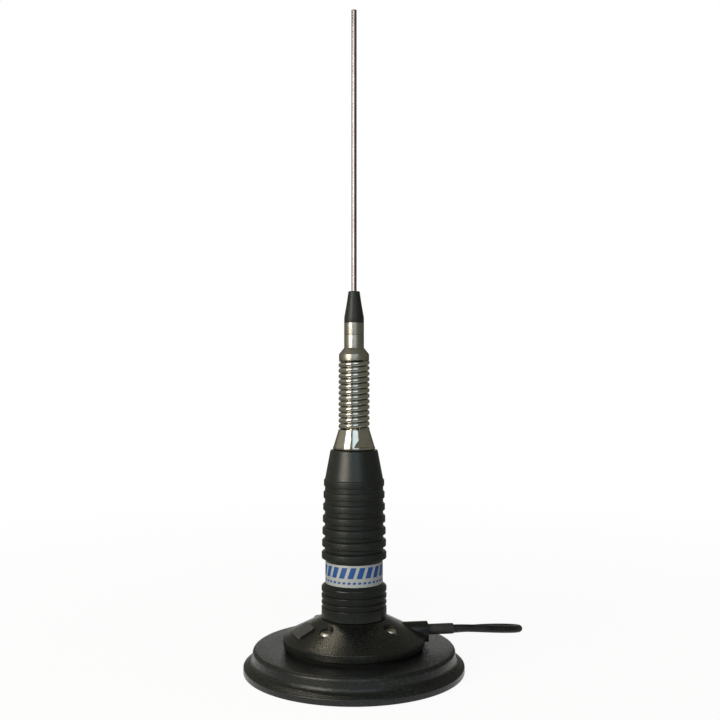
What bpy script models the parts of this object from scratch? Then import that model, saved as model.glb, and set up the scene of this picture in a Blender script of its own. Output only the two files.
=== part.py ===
"""Magnetic mount antenna: a round magnetic base, a loaded whip on a shock spring, and its coaxial lead.

Metres, +Z up. The base rests on z = 0 with its axis on Z. The cable leaves along +X.
"""
import math

import bmesh
import bpy
from mathutils import Matrix, Vector

# Clearances
SEAT_GAP = 0.0003        # between pieces that touch or are pressed together
THREAD_GAP = 0.0003      # radial, between a thread and its mate

# Roundness
SIDES_LARGE = 28
SIDES_MEDIUM = 22
SIDES_SMALL = 16
SIDES_TINY = 10
HEXAGON_SIDES = 6
FILLET_STEPS = 2
OUTLET_ARC_STEPS = 8

# Magnetic base
BASE_RADIUS = 0.0725
BASE_LIP_HEIGHT = 0.0042
BASE_LIP_CLEARANCE = 0.0004   # lip held off the surface by the pad
BASE_LIP_ROUND = 0.0009
BASE_LIP_WIDTH = 0.0062        # lip beyond the shoulder
BASE_SHOULDER_DRAFT = 0.0004
BASE_SHOULDER_ROUND = 0.0020
BASE_COVE_RADIUS = 0.0028
SHELL_WALL = 0.0022
PAD_THICKNESS = 0.0015
PAD_INSET = 0.0025            # pad inside the lip
MAGNET_THICKNESS = 0.0080
MAGNET_INSET = 0.0010         # magnet inside the plate
MAGNET_INNER_RADIUS = 0.0220
PLATE_THICKNESS = 0.0017
PLATE_CLEARANCE = 0.0011      # plate inside the shell

# Cover on the base
GASKET_THICKNESS = 0.0034
GASKET_INSET = 0.0011          # gasket inside the cover
GASKET_WIDTH = 0.0049
COVER_RADIUS = 0.0465
COVER_RIM_HEIGHT = 0.0040
COVER_CONE_HEIGHT = 0.0127
COVER_TOP_RADIUS = 0.0220
COVER_WALL = 0.0025
NAMEPLATE_LENGTH = 0.0125     # up the slope
NAMEPLATE_WIDTH = 0.0165
NAMEPLATE_RISE = 0.0011
NAMEPLATE_SHIFT = 0.00075     # from the slope's middle towards the axis
NAMEPLATE_CORNER_RADIUS = 0.0016
NAMEPLATE_ANGLE = math.radians(184.0)

# Screws that hold the cover down
SCREW_COUNT = 4
SCREW_SHIFT = 0.00525         # from the slope's middle towards the axis
SCREW_FIRST_ANGLE = math.radians(45.0)
SCREW_HEAD_RADIUS = 0.0034
SCREW_HEAD_HEIGHT = 0.0025
SCREW_SHANK_RADIUS = 0.0019
SCREW_RECESS_DEPTH = 0.0012
SCREW_RECESS_WIDTH = 0.0009
SCREW_RECESS_LENGTH = 0.0038
SCREW_RECESS_ANGLES = (20.0, 57.0, 94.0, 131.0)    # degrees, one for each screw
SCREW_HOLE_RADIUS = 0.0045
SCREW_BOSS_RADIUS = 0.0062
SCREW_BOSS_RISE = 0.0011      # boss above the counterbore floor
SCREW_WELL_DEPTH = 0.0042     # counterbore floor below the slope

# Cable outlet
OUTLET_HEIGHT = 0.0102        # cable axis above the base's top face
OUTLET_OVERHANG = 0.0027      # outlet beyond the cover's rim
OUTLET_RADIUS = 0.0056
OUTLET_WALL = 0.0012
CABLE_RADIUS = 0.0025
BOOT_RADIUS = 0.0035
BOOT_LENGTH = 0.0175          # beyond the outlet
BOOT_FLANGE_THICKNESS = 0.0020
CABLE_START_INSET = 0.0112     # start of the cable inside the outlet
CABLE_POINT_SPACING = 0.0125

# Socket that the antenna screws onto
SOCKET_THREAD_RADIUS = 0.0078
SOCKET_BORE_RADIUS = 0.0060
SOCKET_FLANGE_RADIUS = 0.0130
SOCKET_FLANGE_THICKNESS = 0.0024
SOCKET_TAIL_LENGTH = 0.0050   # thread below the steel plate
SOCKET_TAIL_BORE_RADIUS = 0.0040
SOCKET_NUT_THICKNESS = 0.0032
SOCKET_NUT_CORNER_RADIUS = 0.0125
CONTACT_RADIUS = 0.0023
CONTACT_BORE_RADIUS = 0.0015
CONTACT_BORE_DEPTH = 0.0130
CONTACT_TOP_INSET = 0.0030

# Grip ring that turns on the socket's thread
GRIP_RADIUS = 0.0211
GRIP_HEIGHT = 0.0235
GRIP_TOP_CHAMFER = 0.0021
GRIP_BOTTOM_CHAMFER = 0.0003
GRIP_GROOVE_DEPTH = 0.0005
GRIP_GROOVE_WIDTH = 0.0016
GRIP_GROOVE_DROPS = (0.0067, 0.0111, 0.0152)    # below the ring's top
GRIP_ROOF = 0.0060            # ring over the foot's flange
INSERT_WALL = 0.0039
INSERT_RECESS = 0.0007
FOOT_FLANGE_INSET = 0.0014
FOOT_FLANGE_THICKNESS = 0.0022
FOOT_NECK_RADIUS = 0.0066
FOOT_BORE_RADIUS = 0.0036
FOOT_ENGAGEMENT = 0.0060      # neck inside the coil former
PIN_RADIUS = 0.0012

# Coil housing
NECK_RADIUS = 0.01805
NECK_HEIGHT = 0.0132
BAND_THICKNESS = 0.0003
RIB_COUNT = 7
RIB_PITCH = 0.00788
RIB_HEIGHT = 0.0049
RIB_STEP = 0.0030             # lowest rib beyond the neck
RIB_TAPER = 0.00024           # radius lost from one rib to the next above
RIB_CHAMFER = 0.0007
GROOVE_STEP = 0.00095         # groove floor beyond the neck
SKIRT_CHAMFER = 0.0013
CONE_BOTTOM_STEP = 0.0003      # cone's foot inside the groove floor
CONE_TOP_RADIUS = 0.0153
CONE_HEIGHT = 0.0180
CONE_LAND = 0.0010
CONE_TOP_ROUND = 0.0008
HOUSING_WALL = 0.0030
HOUSING_FLOOR = 0.0026

# Loading coil inside the housing
FORMER_WALL = 0.0017
FORMER_FLANGE_STEP = 0.0015
FORMER_FLANGE_THICKNESS = 0.0024
FORMER_HEIGHT = 0.0600
COIL_WIRE_RADIUS = 0.0010
COIL_TURNS = 6
COIL_POINTS_PER_TURN = 9

# Wrench fitting under the spring
STUD_RADIUS = 0.0050
STUD_ENGAGEMENT = 0.0100
SEAT_FLANGE_RADIUS = 0.0139
SEAT_RIM_HEIGHT = 0.0016
SEAT_HEIGHT = 0.0131
SEAT_TOP_STEP = 0.0001        # cone's top beyond the spring
SEAT_BASE_STEP = 0.0003       # cone's foot inside the rim
FLAT_DISTANCE = 0.0107        # wrench flat to the axis
FLAT_ANGLE = math.radians(-57.0)
SPIGOT_LENGTH = 0.0062
SPIGOT_CHAMFER = 0.0008
BRAID_RADIUS = 0.0030
BRAID_SOCKET_DEPTH = 0.0050

# Shock spring
SPRING_OUTER_RADIUS = 0.0100
SPRING_WIRE = 0.0034
SPRING_COIL_GAP = 0.00024
SPRING_TURNS = 11.6
SPRING_END_ANGLE = math.radians(0.0)
SPRING_POINTS_PER_TURN = 12

# Head above the spring
HEAD_COLLAR_RADIUS = 0.0096
HEAD_COLLAR_HEIGHT = 0.0033
HEAD_CHAMFER_HEIGHT = 0.0043
FERRULE_RADIUS = 0.0063
HEAD_FERRULE_HEIGHT = 0.0085
HOLDER_FERRULE_HEIGHT = 0.0082
HOLDER_STUD_RADIUS = 0.0040
HOLDER_STUD_LENGTH = 0.0142
HOLDER_SPIGOT_RADIUS = 0.0036
HOLDER_SPIGOT_LENGTH = 0.0092
CLAMP_SCREW_RADIUS = 0.0018
CLAMP_SCREW_HEIGHT = 0.0041   # above the holder's lower face
CLAMP_SCREW_ANGLE = math.radians(90.0)
CLAMP_SOCKET_RADIUS = 0.0009
CLAMP_SOCKET_DEPTH = 0.0014
CAP_HEIGHT = 0.0195
CAP_TOP_RADIUS = 0.0034
CAP_TOP_ROUND = 0.0007
CAP_SHOULDER_RADIUS = 0.0047
CAP_SHOULDER_HEIGHT = 0.0128
CAP_SKIRT_HEIGHT = 0.0024

# Whip
WHIP_RADIUS = 0.0015
WHIP_LENGTH = 0.2202
WHIP_INSERTION = 0.0160       # below the holder's ferrule top at rest
WHIP_TIP_CHAMFER = 0.0002

# Coaxial plug
PLUG_NUT_RADIUS = 0.0092
PLUG_NUT_LENGTH = 0.0180
PLUG_NUT_BORE_RADIUS = 0.0081
PLUG_NUT_LIP = 0.0035
PLUG_BODY_RADIUS = 0.0066
PLUG_BODY_END = 0.0310
PLUG_SHOULDER_RADIUS = 0.0075
PLUG_SHOULDER_LENGTH = 0.0025
PLUG_NOSE_RADIUS = 0.0059
PLUG_NOSE_SETBACK = 0.0055
PLUG_INSULATOR_RADIUS = 0.0045
PLUG_INSULATOR_LENGTH = 0.0080
PLUG_PIN_RADIUS = 0.0020
PLUG_PIN_PROUD = 0.0005
PLUG_PIN_TAIL = 0.0030
REDUCER_RADIUS = 0.0056
REDUCER_LENGTH = 0.0085
REDUCER_SPIGOT_RADIUS = 0.0041
REDUCER_SPIGOT_LENGTH = 0.0070
PLUG_CABLE_DEPTH = 0.0060

# Stored cable: a tied hank behind the base
LEAD_TURN = math.radians(81.7)    # direction of the hank's axis from +X
HANK_NEAR_FOLD = (0.01478, 0.10722)    # centre of its fold next to the base
HANK_RUN = 0.1000                 # between the centres of its folds
HANK_LAYERS = 6
HANK_LAYER_PITCH = 0.0051
HANK_FOLD_RADIUS = 0.0203         # middle of the outer turn
HANK_WAIST = 0.0080               # middle of the outer turn at the tie
HANK_RUN_STEPS = 5
HANK_FOLD_STEPS = 10
TIE_WIDTH = 0.0120
TIE_THICKNESS = 0.0012
PLUG_MOUTH = 0.0100               # along the hank's axis, from the near fold's centre

# Sizes and heights that follow from the ones above
shoulder_radius = BASE_RADIUS - BASE_LIP_WIDTH
pad_radius = BASE_RADIUS - PAD_INSET
plate_radius = shoulder_radius - SHELL_WALL - PLATE_CLEARANCE
magnet_bottom = PAD_THICKNESS + SEAT_GAP
plate_bottom = magnet_bottom + MAGNET_THICKNESS + SEAT_GAP
shell_ceiling = plate_bottom + PLATE_THICKNESS + SEAT_GAP
base_top = shell_ceiling + SHELL_WALL
gasket_bottom = base_top + SEAT_GAP
cover_bottom = gasket_bottom + GASKET_THICKNESS + SEAT_GAP
cover_rim = cover_bottom + COVER_RIM_HEIGHT
cover_top = cover_rim + COVER_CONE_HEIGHT
cone_slope = math.atan2(COVER_CONE_HEIGHT, COVER_RADIUS - COVER_TOP_RADIUS)
slope_middle_radius = (COVER_TOP_RADIUS + COVER_RADIUS) / 2
screw_circle_radius = slope_middle_radius - SCREW_SHIFT
screw_seat = cover_top - (screw_circle_radius - COVER_TOP_RADIUS) * math.tan(cone_slope) - SCREW_WELL_DEPTH
outlet_height = base_top + OUTLET_HEIGHT
outlet_reach = COVER_RADIUS + OUTLET_OVERHANG
cable_start = outlet_reach - CABLE_START_INSET
grip_bottom = cover_top + SEAT_GAP
grip_top = grip_bottom + GRIP_HEIGHT
foot_flange_top = grip_top - GRIP_ROOF - SEAT_GAP
foot_bottom = foot_flange_top - FOOT_FLANGE_THICKNESS
socket_top = foot_bottom - SEAT_GAP
insert_radius = SOCKET_THREAD_RADIUS + INSERT_WALL
housing_bottom = grip_top + SEAT_GAP
rib_start = housing_bottom + NECK_HEIGHT
housing_cone = rib_start + SKIRT_CHAMFER + (RIB_COUNT - 1) * RIB_PITCH + RIB_HEIGHT + CONE_LAND
housing_top = housing_cone + CONE_HEIGHT
former_bottom = housing_bottom + HOUSING_FLOOR + SEAT_GAP
former_top = former_bottom + FORMER_HEIGHT
groove_radius = NECK_RADIUS + GROOVE_STEP
former_radius = FOOT_NECK_RADIUS + SEAT_GAP + FORMER_WALL
seat_bottom = housing_top + SEAT_GAP
seat_top = housing_top + SEAT_HEIGHT
spring_coil_radius = SPRING_OUTER_RADIUS - SPRING_WIRE / 2
spring_pitch = SPRING_WIRE + SPRING_COIL_GAP
spring_bottom = seat_top + SEAT_GAP
spring_top = spring_bottom + SPRING_TURNS * spring_pitch + SPRING_WIRE
spigot_radius = (spring_coil_radius * math.cos(math.pi / SPRING_POINTS_PER_TURN)
                 - SPRING_WIRE / 2 - SEAT_GAP)
head_bottom = spring_top + SEAT_GAP
head_top = head_bottom + HEAD_COLLAR_HEIGHT + HEAD_CHAMFER_HEIGHT + HEAD_FERRULE_HEIGHT
holder_bottom = head_top + SEAT_GAP
holder_top = holder_bottom + HOLDER_FERRULE_HEIGHT
cap_bottom = holder_top + SEAT_GAP
whip_bottom = holder_top - WHIP_INSERTION
hank_height = HANK_LAYERS * HANK_LAYER_PITCH
plug_height = hank_height + SEAT_GAP + PLUG_NUT_RADIUS


# The collections and the finishes

for old in list(bpy.data.objects):
    bpy.data.objects.remove(old, do_unlink=True)

pieces = bpy.data.collections.new("magnetic_mount_antenna")
cutters = bpy.data.collections.new("cutters")
bpy.context.scene.collection.children.link(pieces)
bpy.context.scene.collection.children.link(cutters)


def finish(name, colour, roughness, metallic=0.0):
    material = bpy.data.materials.new(name)
    material.use_nodes = True
    shader = material.node_tree.nodes["Principled BSDF"]
    shader.inputs["Base Color"].default_value = (*colour, 1.0)
    shader.inputs["Roughness"].default_value = roughness
    shader.inputs["Metallic"].default_value = metallic
    return material


# Shapes

def arc(centre_r, centre_z, radius, start, end, steps):
    """Points on an arc in the (radius, height) plane, angles in degrees."""
    points = []
    for step in range(steps + 1):
        angle = math.radians(start + (end - start) * step / steps)
        points.append((centre_r + radius * math.cos(angle), centre_z + radius * math.sin(angle)))
    return points


def add_piece(name, data, material, parent=None):
    piece = bpy.data.objects.new(name, data)
    pieces.objects.link(piece)
    if material is not None:
        data.materials.append(material)
    piece.parent = parent
    return piece


def profile_mesh(name, outline, closed):
    mesh = bpy.data.meshes.new(name)
    points = [(radius, 0.0, height) for radius, height in outline]
    edges = [(index, index + 1) for index in range(len(points) - 1)]
    if closed:
        edges.append((len(points) - 1, 0))
    mesh.from_pydata(points, edges, [])
    return mesh


def add_screw(piece, sides):
    turn = piece.modifiers.new("turn", "SCREW")
    turn.axis = "Z"
    turn.angle = math.tau
    turn.steps = sides
    turn.render_steps = sides
    turn.use_merge_vertices = True
    turn.merge_threshold = 0.00001
    turn.use_smooth_shade = True
    return turn


def turned(name, outline, material, sides=SIDES_MEDIUM, parent=None):
    """A turned piece: its outline runs down the outer side, and closes where it has a bore."""
    closed = outline[0][0] > 0 or outline[-1][0] > 0
    piece = add_piece(name, profile_mesh(name, outline, closed), material, parent)
    add_screw(piece, sides)
    return piece


def make_cutter(piece):
    """Take a shape out of the model and keep it only to cut or join another."""
    pieces.objects.unlink(piece)
    cutters.objects.link(piece)
    piece.hide_render = True
    piece.display_type = "WIRE"
    return piece


def turned_cutter(name, outline, sides=SIDES_SMALL, parent=None):
    return make_cutter(turned(name, outline, None, sides, parent))


def cylinder_cutter(name, radius, low, high, place=(0.0, 0.0), sides=SIDES_SMALL):
    shape = turned_cutter(name, [(0, high), (radius, high), (radius, low), (0, low)], sides)
    shape.location = (place[0], place[1], 0)
    return shape


def box_cutter(name, size, matrix, parent=None):
    mesh = bpy.data.meshes.new(name)
    cage = bmesh.new()
    bmesh.ops.create_cube(cage, size=1.0)
    bmesh.ops.scale(cage, vec=size, verts=cage.verts)
    cage.to_mesh(mesh)
    cage.free()
    shape = make_cutter(add_piece(name, mesh, None, parent))
    shape.matrix_local = matrix
    return shape


def combine(piece, other, operation):
    step = piece.modifiers.new(operation.lower(), "BOOLEAN")
    step.operation = operation
    step.solver = "EXACT"
    step.object = other


def cut(piece, other):
    combine(piece, other, "DIFFERENCE")


def join(piece, other):
    combine(piece, other, "UNION")


def flat_outline(name, outline, thickness, material):
    """A flat outline in the local XY plane, thickened about it, as a plain mesh."""
    curve = bpy.data.curves.new(name, "CURVE")
    curve.dimensions = "2D"
    curve.fill_mode = "BOTH"
    curve.extrude = thickness / 2
    spline = curve.splines.new("POLY")
    spline.points.add(len(outline) - 1)
    for point, (x, y) in zip(spline.points, outline):
        point.co = (x, y, 0, 1)
    spline.use_cyclic_u = True
    return mesh_from_curve(name, curve, material)


def mesh_from_curve(name, curve, material):
    guide = bpy.data.objects.new(name + "_curve", curve)
    pieces.objects.link(guide)
    bpy.context.view_layer.update()
    evaluated = guide.evaluated_get(bpy.context.evaluated_depsgraph_get())
    mesh = bpy.data.meshes.new_from_object(evaluated)
    bpy.data.objects.remove(guide, do_unlink=True)
    shell = bmesh.new()
    shell.from_mesh(mesh)
    bmesh.ops.remove_doubles(shell, verts=shell.verts, dist=0.000001)
    bmesh.ops.recalc_face_normals(shell, faces=shell.faces)
    shell.to_mesh(mesh)
    shell.free()
    mesh.name = name
    mesh.materials.clear()
    return add_piece(name, mesh, material)


def wire(name, points, radius, material, resolution=2):
    """A round wire or cable along a list of points, with capped ends."""
    curve = bpy.data.curves.new(name, "CURVE")
    curve.dimensions = "3D"
    curve.bevel_depth = radius
    curve.bevel_resolution = resolution
    curve.use_fill_caps = True
    spline = curve.splines.new("POLY")
    spline.points.add(len(points) - 1)
    for point, place in zip(spline.points, points):
        point.co = (*place, 1)
    return add_piece(name, curve, material)


def smooth_route(route, spacing):
    """Evenly spaced points on a smooth curve through a route's own points."""
    anchors = [Vector(point) for point in route]
    anchors = [2 * anchors[0] - anchors[1]] + anchors + [2 * anchors[-1] - anchors[-2]]
    fine = []
    steps = 24
    for before, start, end, after in zip(anchors, anchors[1:], anchors[2:], anchors[3:]):
        for step in range(steps):
            t = step / steps
            fine.append(0.5 * (2 * start + (end - before) * t
                               + (2 * before - 5 * start + 4 * end - after) * t ** 2
                               + (3 * start - before - 3 * end + after) * t ** 3))
    fine.append(anchors[-2])
    travelled = [0.0]
    for start, end in zip(fine, fine[1:]):
        travelled.append(travelled[-1] + (end - start).length)
    count = max(2, round(travelled[-1] / spacing))
    points = []
    segment = 0
    for index in range(count + 1):
        wanted = travelled[-1] * index / count
        while segment < len(fine) - 2 and travelled[segment + 1] < wanted:
            segment += 1
        share = (wanted - travelled[segment]) / (travelled[segment + 1] - travelled[segment])
        points.append(fine[segment].lerp(fine[segment + 1], share))
    return points


def around(radius, angle):
    return radius * math.cos(angle), radius * math.sin(angle)


def along_x(height):
    """Turns a piece's own Z to +X, at a height above the floor."""
    return Matrix.Translation((0, 0, height)) @ Matrix.Rotation(math.pi / 2, 4, "Y")


def rounded_rectangle(length, width, radius):
    corners = []
    for sign_x, sign_y, start in ((1, 1, 0), (-1, 1, 90), (-1, -1, 180), (1, -1, 270)):
        corners += arc(sign_x * (length / 2 - radius), sign_y * (width / 2 - radius), radius,
                       start, start + 90, FILLET_STEPS)
    return corners


screw_places = [around(screw_circle_radius, SCREW_FIRST_ANGLE + math.tau * index / SCREW_COUNT)
                for index in range(SCREW_COUNT)]
socket_hole_radius = SOCKET_THREAD_RADIUS + SEAT_GAP


# Magnetic base

def make_base():
    black_coat = finish("grained_black_coat", (0.012, 0.012, 0.013), 0.55)
    lip_inner = pad_radius + SEAT_GAP * 2
    wall_foot_radius = shoulder_radius + BASE_SHOULDER_DRAFT
    cove_centre = (wall_foot_radius + BASE_COVE_RADIUS, BASE_LIP_HEIGHT + BASE_COVE_RADIUS)
    outline = [(socket_hole_radius, base_top)]
    outline += arc(shoulder_radius - BASE_SHOULDER_ROUND, base_top - BASE_SHOULDER_ROUND,
                   BASE_SHOULDER_ROUND, 90, 0, FILLET_STEPS)
    outline += arc(*cove_centre, BASE_COVE_RADIUS, 180, 270, FILLET_STEPS)
    outline += arc(BASE_RADIUS - BASE_LIP_ROUND, BASE_LIP_HEIGHT - BASE_LIP_ROUND, BASE_LIP_ROUND,
                   90, 0, FILLET_STEPS)
    outline += [
        (BASE_RADIUS, BASE_LIP_CLEARANCE),
        (lip_inner, BASE_LIP_CLEARANCE),
        (lip_inner, magnet_bottom),
        (wall_foot_radius - SHELL_WALL, magnet_bottom),
        (shoulder_radius - SHELL_WALL, shell_ceiling),
        (socket_hole_radius, shell_ceiling),
    ]
    shell = turned("base_shell", outline, black_coat, SIDES_LARGE)

    steel = finish("zinc_plated_steel", (0.55, 0.55, 0.53), 0.4, 1.0)
    plate_top = plate_bottom + PLATE_THICKNESS
    plate = turned("pole_plate", [
        (socket_hole_radius, plate_top), (plate_radius, plate_top),
        (plate_radius, plate_bottom), (socket_hole_radius, plate_bottom),
    ], steel, SIDES_LARGE)
    for index, place in enumerate(screw_places):
        hole = cylinder_cutter(f"screw_hole_cutter_{index + 1}", SCREW_SHANK_RADIUS + THREAD_GAP,
                               magnet_bottom, base_top + SHELL_WALL, place, SIDES_TINY)
        cut(shell, hole)
        cut(plate, hole)

    ferrite = finish("ferrite", (0.03, 0.03, 0.032), 0.65)
    magnet_top = magnet_bottom + MAGNET_THICKNESS
    magnet_radius = plate_radius - MAGNET_INSET
    turned("magnet_ring", [
        (MAGNET_INNER_RADIUS, magnet_top), (magnet_radius, magnet_top),
        (magnet_radius, magnet_bottom), (MAGNET_INNER_RADIUS, magnet_bottom),
    ], ferrite, SIDES_LARGE)

    pad_rubber = finish("pad_rubber", (0.02, 0.02, 0.02), 0.8)
    turned("base_pad", [(0, PAD_THICKNESS), (pad_radius, PAD_THICKNESS), (pad_radius, 0), (0, 0)],
           pad_rubber, SIDES_LARGE)

    gasket_rubber = finish("gasket_rubber", (0.008, 0.008, 0.008), 0.8)
    gasket_top = gasket_bottom + GASKET_THICKNESS
    outer_radius = COVER_RADIUS - GASKET_INSET
    inner_radius = outer_radius - GASKET_WIDTH
    turned("cover_gasket", [
        (inner_radius, gasket_top), (outer_radius, gasket_top),
        (outer_radius, gasket_bottom), (inner_radius, gasket_bottom),
    ], gasket_rubber, SIDES_LARGE)


# Cover with its screw wells, cable outlet and bare nameplate pad

def make_cover():
    grained = finish("grained_black_plastic", (0.013, 0.013, 0.013), 0.55)
    inner_radius = COVER_RADIUS - COVER_WALL
    ceiling_radius = COVER_TOP_RADIUS - COVER_WALL * math.tan(cone_slope)
    wall_top = cover_rim - COVER_WALL / math.cos(cone_slope) + COVER_WALL * math.tan(cone_slope)
    cover = turned("mount_cover", [
        (socket_hole_radius, cover_top),
        (COVER_TOP_RADIUS, cover_top),
        (COVER_RADIUS, cover_rim),
        (COVER_RADIUS, cover_bottom),
        (inner_radius, cover_bottom),
        (inner_radius, wall_top),
        (ceiling_radius, cover_top - COVER_WALL),
        (socket_hole_radius, cover_top - COVER_WALL),
    ], grained, SIDES_LARGE)

    join(cover, outlet_block("outlet_outside", OUTLET_RADIUS, COVER_TOP_RADIUS, outlet_reach, cover_bottom))
    for index, place in enumerate(screw_places):
        join(cover, cylinder_cutter(f"screw_boss_{index + 1}", SCREW_BOSS_RADIUS, base_top + SEAT_GAP,
                                    screw_seat + SCREW_BOSS_RISE, place))
    cut(cover, outlet_block("outlet_inside", OUTLET_RADIUS - OUTLET_WALL, SOCKET_FLANGE_RADIUS + 2 * SEAT_GAP,
                            outlet_reach - OUTLET_WALL, cover_bottom - COVER_WALL))

    pad = flat_outline("nameplate_pad_shape", rounded_rectangle(
        NAMEPLATE_LENGTH, NAMEPLATE_WIDTH, NAMEPLATE_CORNER_RADIUS), NAMEPLATE_RISE + COVER_WALL / 2, None)
    make_cutter(pad)
    pad_depth = (NAMEPLATE_RISE - COVER_WALL / 2) / 2
    nameplate_radius = slope_middle_radius - NAMEPLATE_SHIFT
    surface = cover_top - (nameplate_radius - COVER_TOP_RADIUS) * math.tan(cone_slope)
    pad.matrix_world = (Matrix.Rotation(NAMEPLATE_ANGLE, 4, "Z")
                        @ Matrix.Translation((nameplate_radius, 0, surface))
                        @ Matrix.Rotation(cone_slope, 4, "Y")
                        @ Matrix.Translation((0, 0, pad_depth)))
    join(cover, pad)

    for index, place in enumerate(screw_places):
        cut(cover, cylinder_cutter(f"screw_well_{index + 1}", SCREW_HOLE_RADIUS,
                                   screw_seat, cover_top, place))
        cut(cover, cylinder_cutter(f"shank_well_{index + 1}", SCREW_SHANK_RADIUS + THREAD_GAP,
                                   base_top, cover_top - COVER_WALL / 2, place, SIDES_TINY))
    boot_hole = turned_cutter("boot_hole_cutter", [
        (0, outlet_reach + OUTLET_WALL), (BOOT_RADIUS + SEAT_GAP, outlet_reach + OUTLET_WALL),
        (BOOT_RADIUS + SEAT_GAP, cable_start), (0, cable_start)])
    boot_hole.matrix_world = along_x(outlet_height)
    cut(cover, boot_hole)


def outlet_block(name, radius, start, end, low):
    """A round-topped block along +X, from its flat underside up over the cable's axis."""
    section = [(-radius, low - outlet_height), (radius, low - outlet_height)]
    section += arc(0, 0, radius, 0, 180, OUTLET_ARC_STEPS)
    block = make_cutter(flat_outline(name, section, end - start, None))
    # Local X across the outlet, local Y up, local Z along it
    block.matrix_world = Matrix(((0, 0, 1, (start + end) / 2), (1, 0, 0, 0),
                                 (0, 1, 0, outlet_height), (0, 0, 0, 1)))
    return block


def make_cover_screws():
    bright = finish("bright_zinc", (0.72, 0.71, 0.67), 0.3, 1.0)
    head_bottom_height = screw_seat + SEAT_GAP
    head_top_height = head_bottom_height + SCREW_HEAD_HEIGHT
    dome = SCREW_HEAD_HEIGHT / 2
    pattern = turned("cover_screw_pattern", [
        (0, head_top_height),
        (SCREW_HEAD_RADIUS - dome, head_top_height),
        (SCREW_HEAD_RADIUS, head_top_height - dome),
        (SCREW_HEAD_RADIUS, head_bottom_height),
        (SCREW_SHANK_RADIUS, head_bottom_height),
        (SCREW_SHANK_RADIUS, plate_bottom),
        (0, plate_bottom),
    ], bright, SIDES_TINY)
    recess = (SCREW_RECESS_LENGTH, SCREW_RECESS_WIDTH, 2 * SCREW_RECESS_DEPTH)
    for index in range(2):
        turn = Matrix.Rotation(index * math.pi / 2, 4, "Z")
        cut(pattern, box_cutter(f"recess_cutter_{index + 1}", recess,
                                Matrix.Translation((0, 0, head_top_height)) @ turn))
    bpy.context.view_layer.update()
    evaluated = pattern.evaluated_get(bpy.context.evaluated_depsgraph_get())
    mesh = bpy.data.meshes.new_from_object(evaluated)
    bpy.data.objects.remove(pattern, do_unlink=True)
    for index, place in enumerate(screw_places):
        screw = add_piece(f"cover_screw_{index + 1}", mesh, None)
        screw.location = (place[0], place[1], 0)
        screw.rotation_euler = (0, 0, math.radians(SCREW_RECESS_ANGLES[index]))


# Cable boot and the socket in the middle of the base

def make_boot():
    boot_rubber = finish("boot_rubber", (0.015, 0.015, 0.016), 0.7)
    bore = CABLE_RADIUS + SEAT_GAP
    boot_end = outlet_reach + BOOT_LENGTH
    flange_end = outlet_reach - OUTLET_WALL - SEAT_GAP
    flange_start = flange_end - BOOT_FLANGE_THICKNESS
    flange_radius = OUTLET_RADIUS - OUTLET_WALL - SEAT_GAP
    boot = turned("cable_boot", [
        (bore, boot_end), (BOOT_RADIUS - SEAT_GAP, boot_end), (BOOT_RADIUS, boot_end - SEAT_GAP),
        (BOOT_RADIUS, flange_end),
        (flange_radius, flange_end), (flange_radius, flange_start),
        (bore, flange_start),
    ], boot_rubber, SIDES_SMALL)
    boot.matrix_world = along_x(outlet_height)


def make_socket():
    nickel = finish("nickel_plated_brass", (0.62, 0.58, 0.5), 0.3, 1.0)
    white_plastic = finish("white_insulator", (0.8, 0.79, 0.74), 0.5)
    brass = finish("brass", (0.75, 0.55, 0.25), 0.3, 1.0)
    flange_bottom = base_top + SEAT_GAP
    flange_top = flange_bottom + SOCKET_FLANGE_THICKNESS
    tail = plate_bottom - SOCKET_TAIL_LENGTH
    turned("socket_shell", [
        (SOCKET_BORE_RADIUS, socket_top), (SOCKET_THREAD_RADIUS, socket_top),
        (SOCKET_THREAD_RADIUS, flange_top), (SOCKET_FLANGE_RADIUS, flange_top),
        (SOCKET_FLANGE_RADIUS, flange_bottom), (SOCKET_THREAD_RADIUS, flange_bottom),
        (SOCKET_THREAD_RADIUS, tail), (SOCKET_TAIL_BORE_RADIUS, tail),
        (SOCKET_TAIL_BORE_RADIUS, flange_top), (SOCKET_BORE_RADIUS, flange_top),
    ], nickel, SIDES_SMALL)
    insulator_radius = SOCKET_BORE_RADIUS - SEAT_GAP
    contact_top = socket_top - CONTACT_TOP_INSET
    turned("socket_insulator", [
        (CONTACT_RADIUS + SEAT_GAP, contact_top), (insulator_radius, contact_top),
        (insulator_radius, flange_top + SEAT_GAP), (CONTACT_RADIUS + SEAT_GAP, flange_top + SEAT_GAP),
    ], white_plastic, SIDES_SMALL)
    contact_floor = contact_top - CONTACT_BORE_DEPTH
    turned("socket_contact", [
        (0, contact_floor), (CONTACT_BORE_RADIUS, contact_floor), (CONTACT_BORE_RADIUS, contact_top),
        (CONTACT_RADIUS, contact_top), (CONTACT_RADIUS, flange_bottom), (0, flange_bottom),
    ], brass, SIDES_TINY)
    nut_top = plate_bottom - SEAT_GAP
    nut_bottom = nut_top - SOCKET_NUT_THICKNESS
    nut = turned("socket_nut", [
        (0, nut_top), (SOCKET_NUT_CORNER_RADIUS, nut_top),
        (SOCKET_NUT_CORNER_RADIUS, nut_bottom), (0, nut_bottom),
    ], nickel, HEXAGON_SIDES)
    cut(nut, cylinder_cutter("socket_nut_thread", SOCKET_THREAD_RADIUS + THREAD_GAP,
                             nut_bottom - SOCKET_NUT_THICKNESS, nut_top + SOCKET_NUT_THICKNESS))


# Grip ring, its brass thread and the antenna's foot

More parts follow.
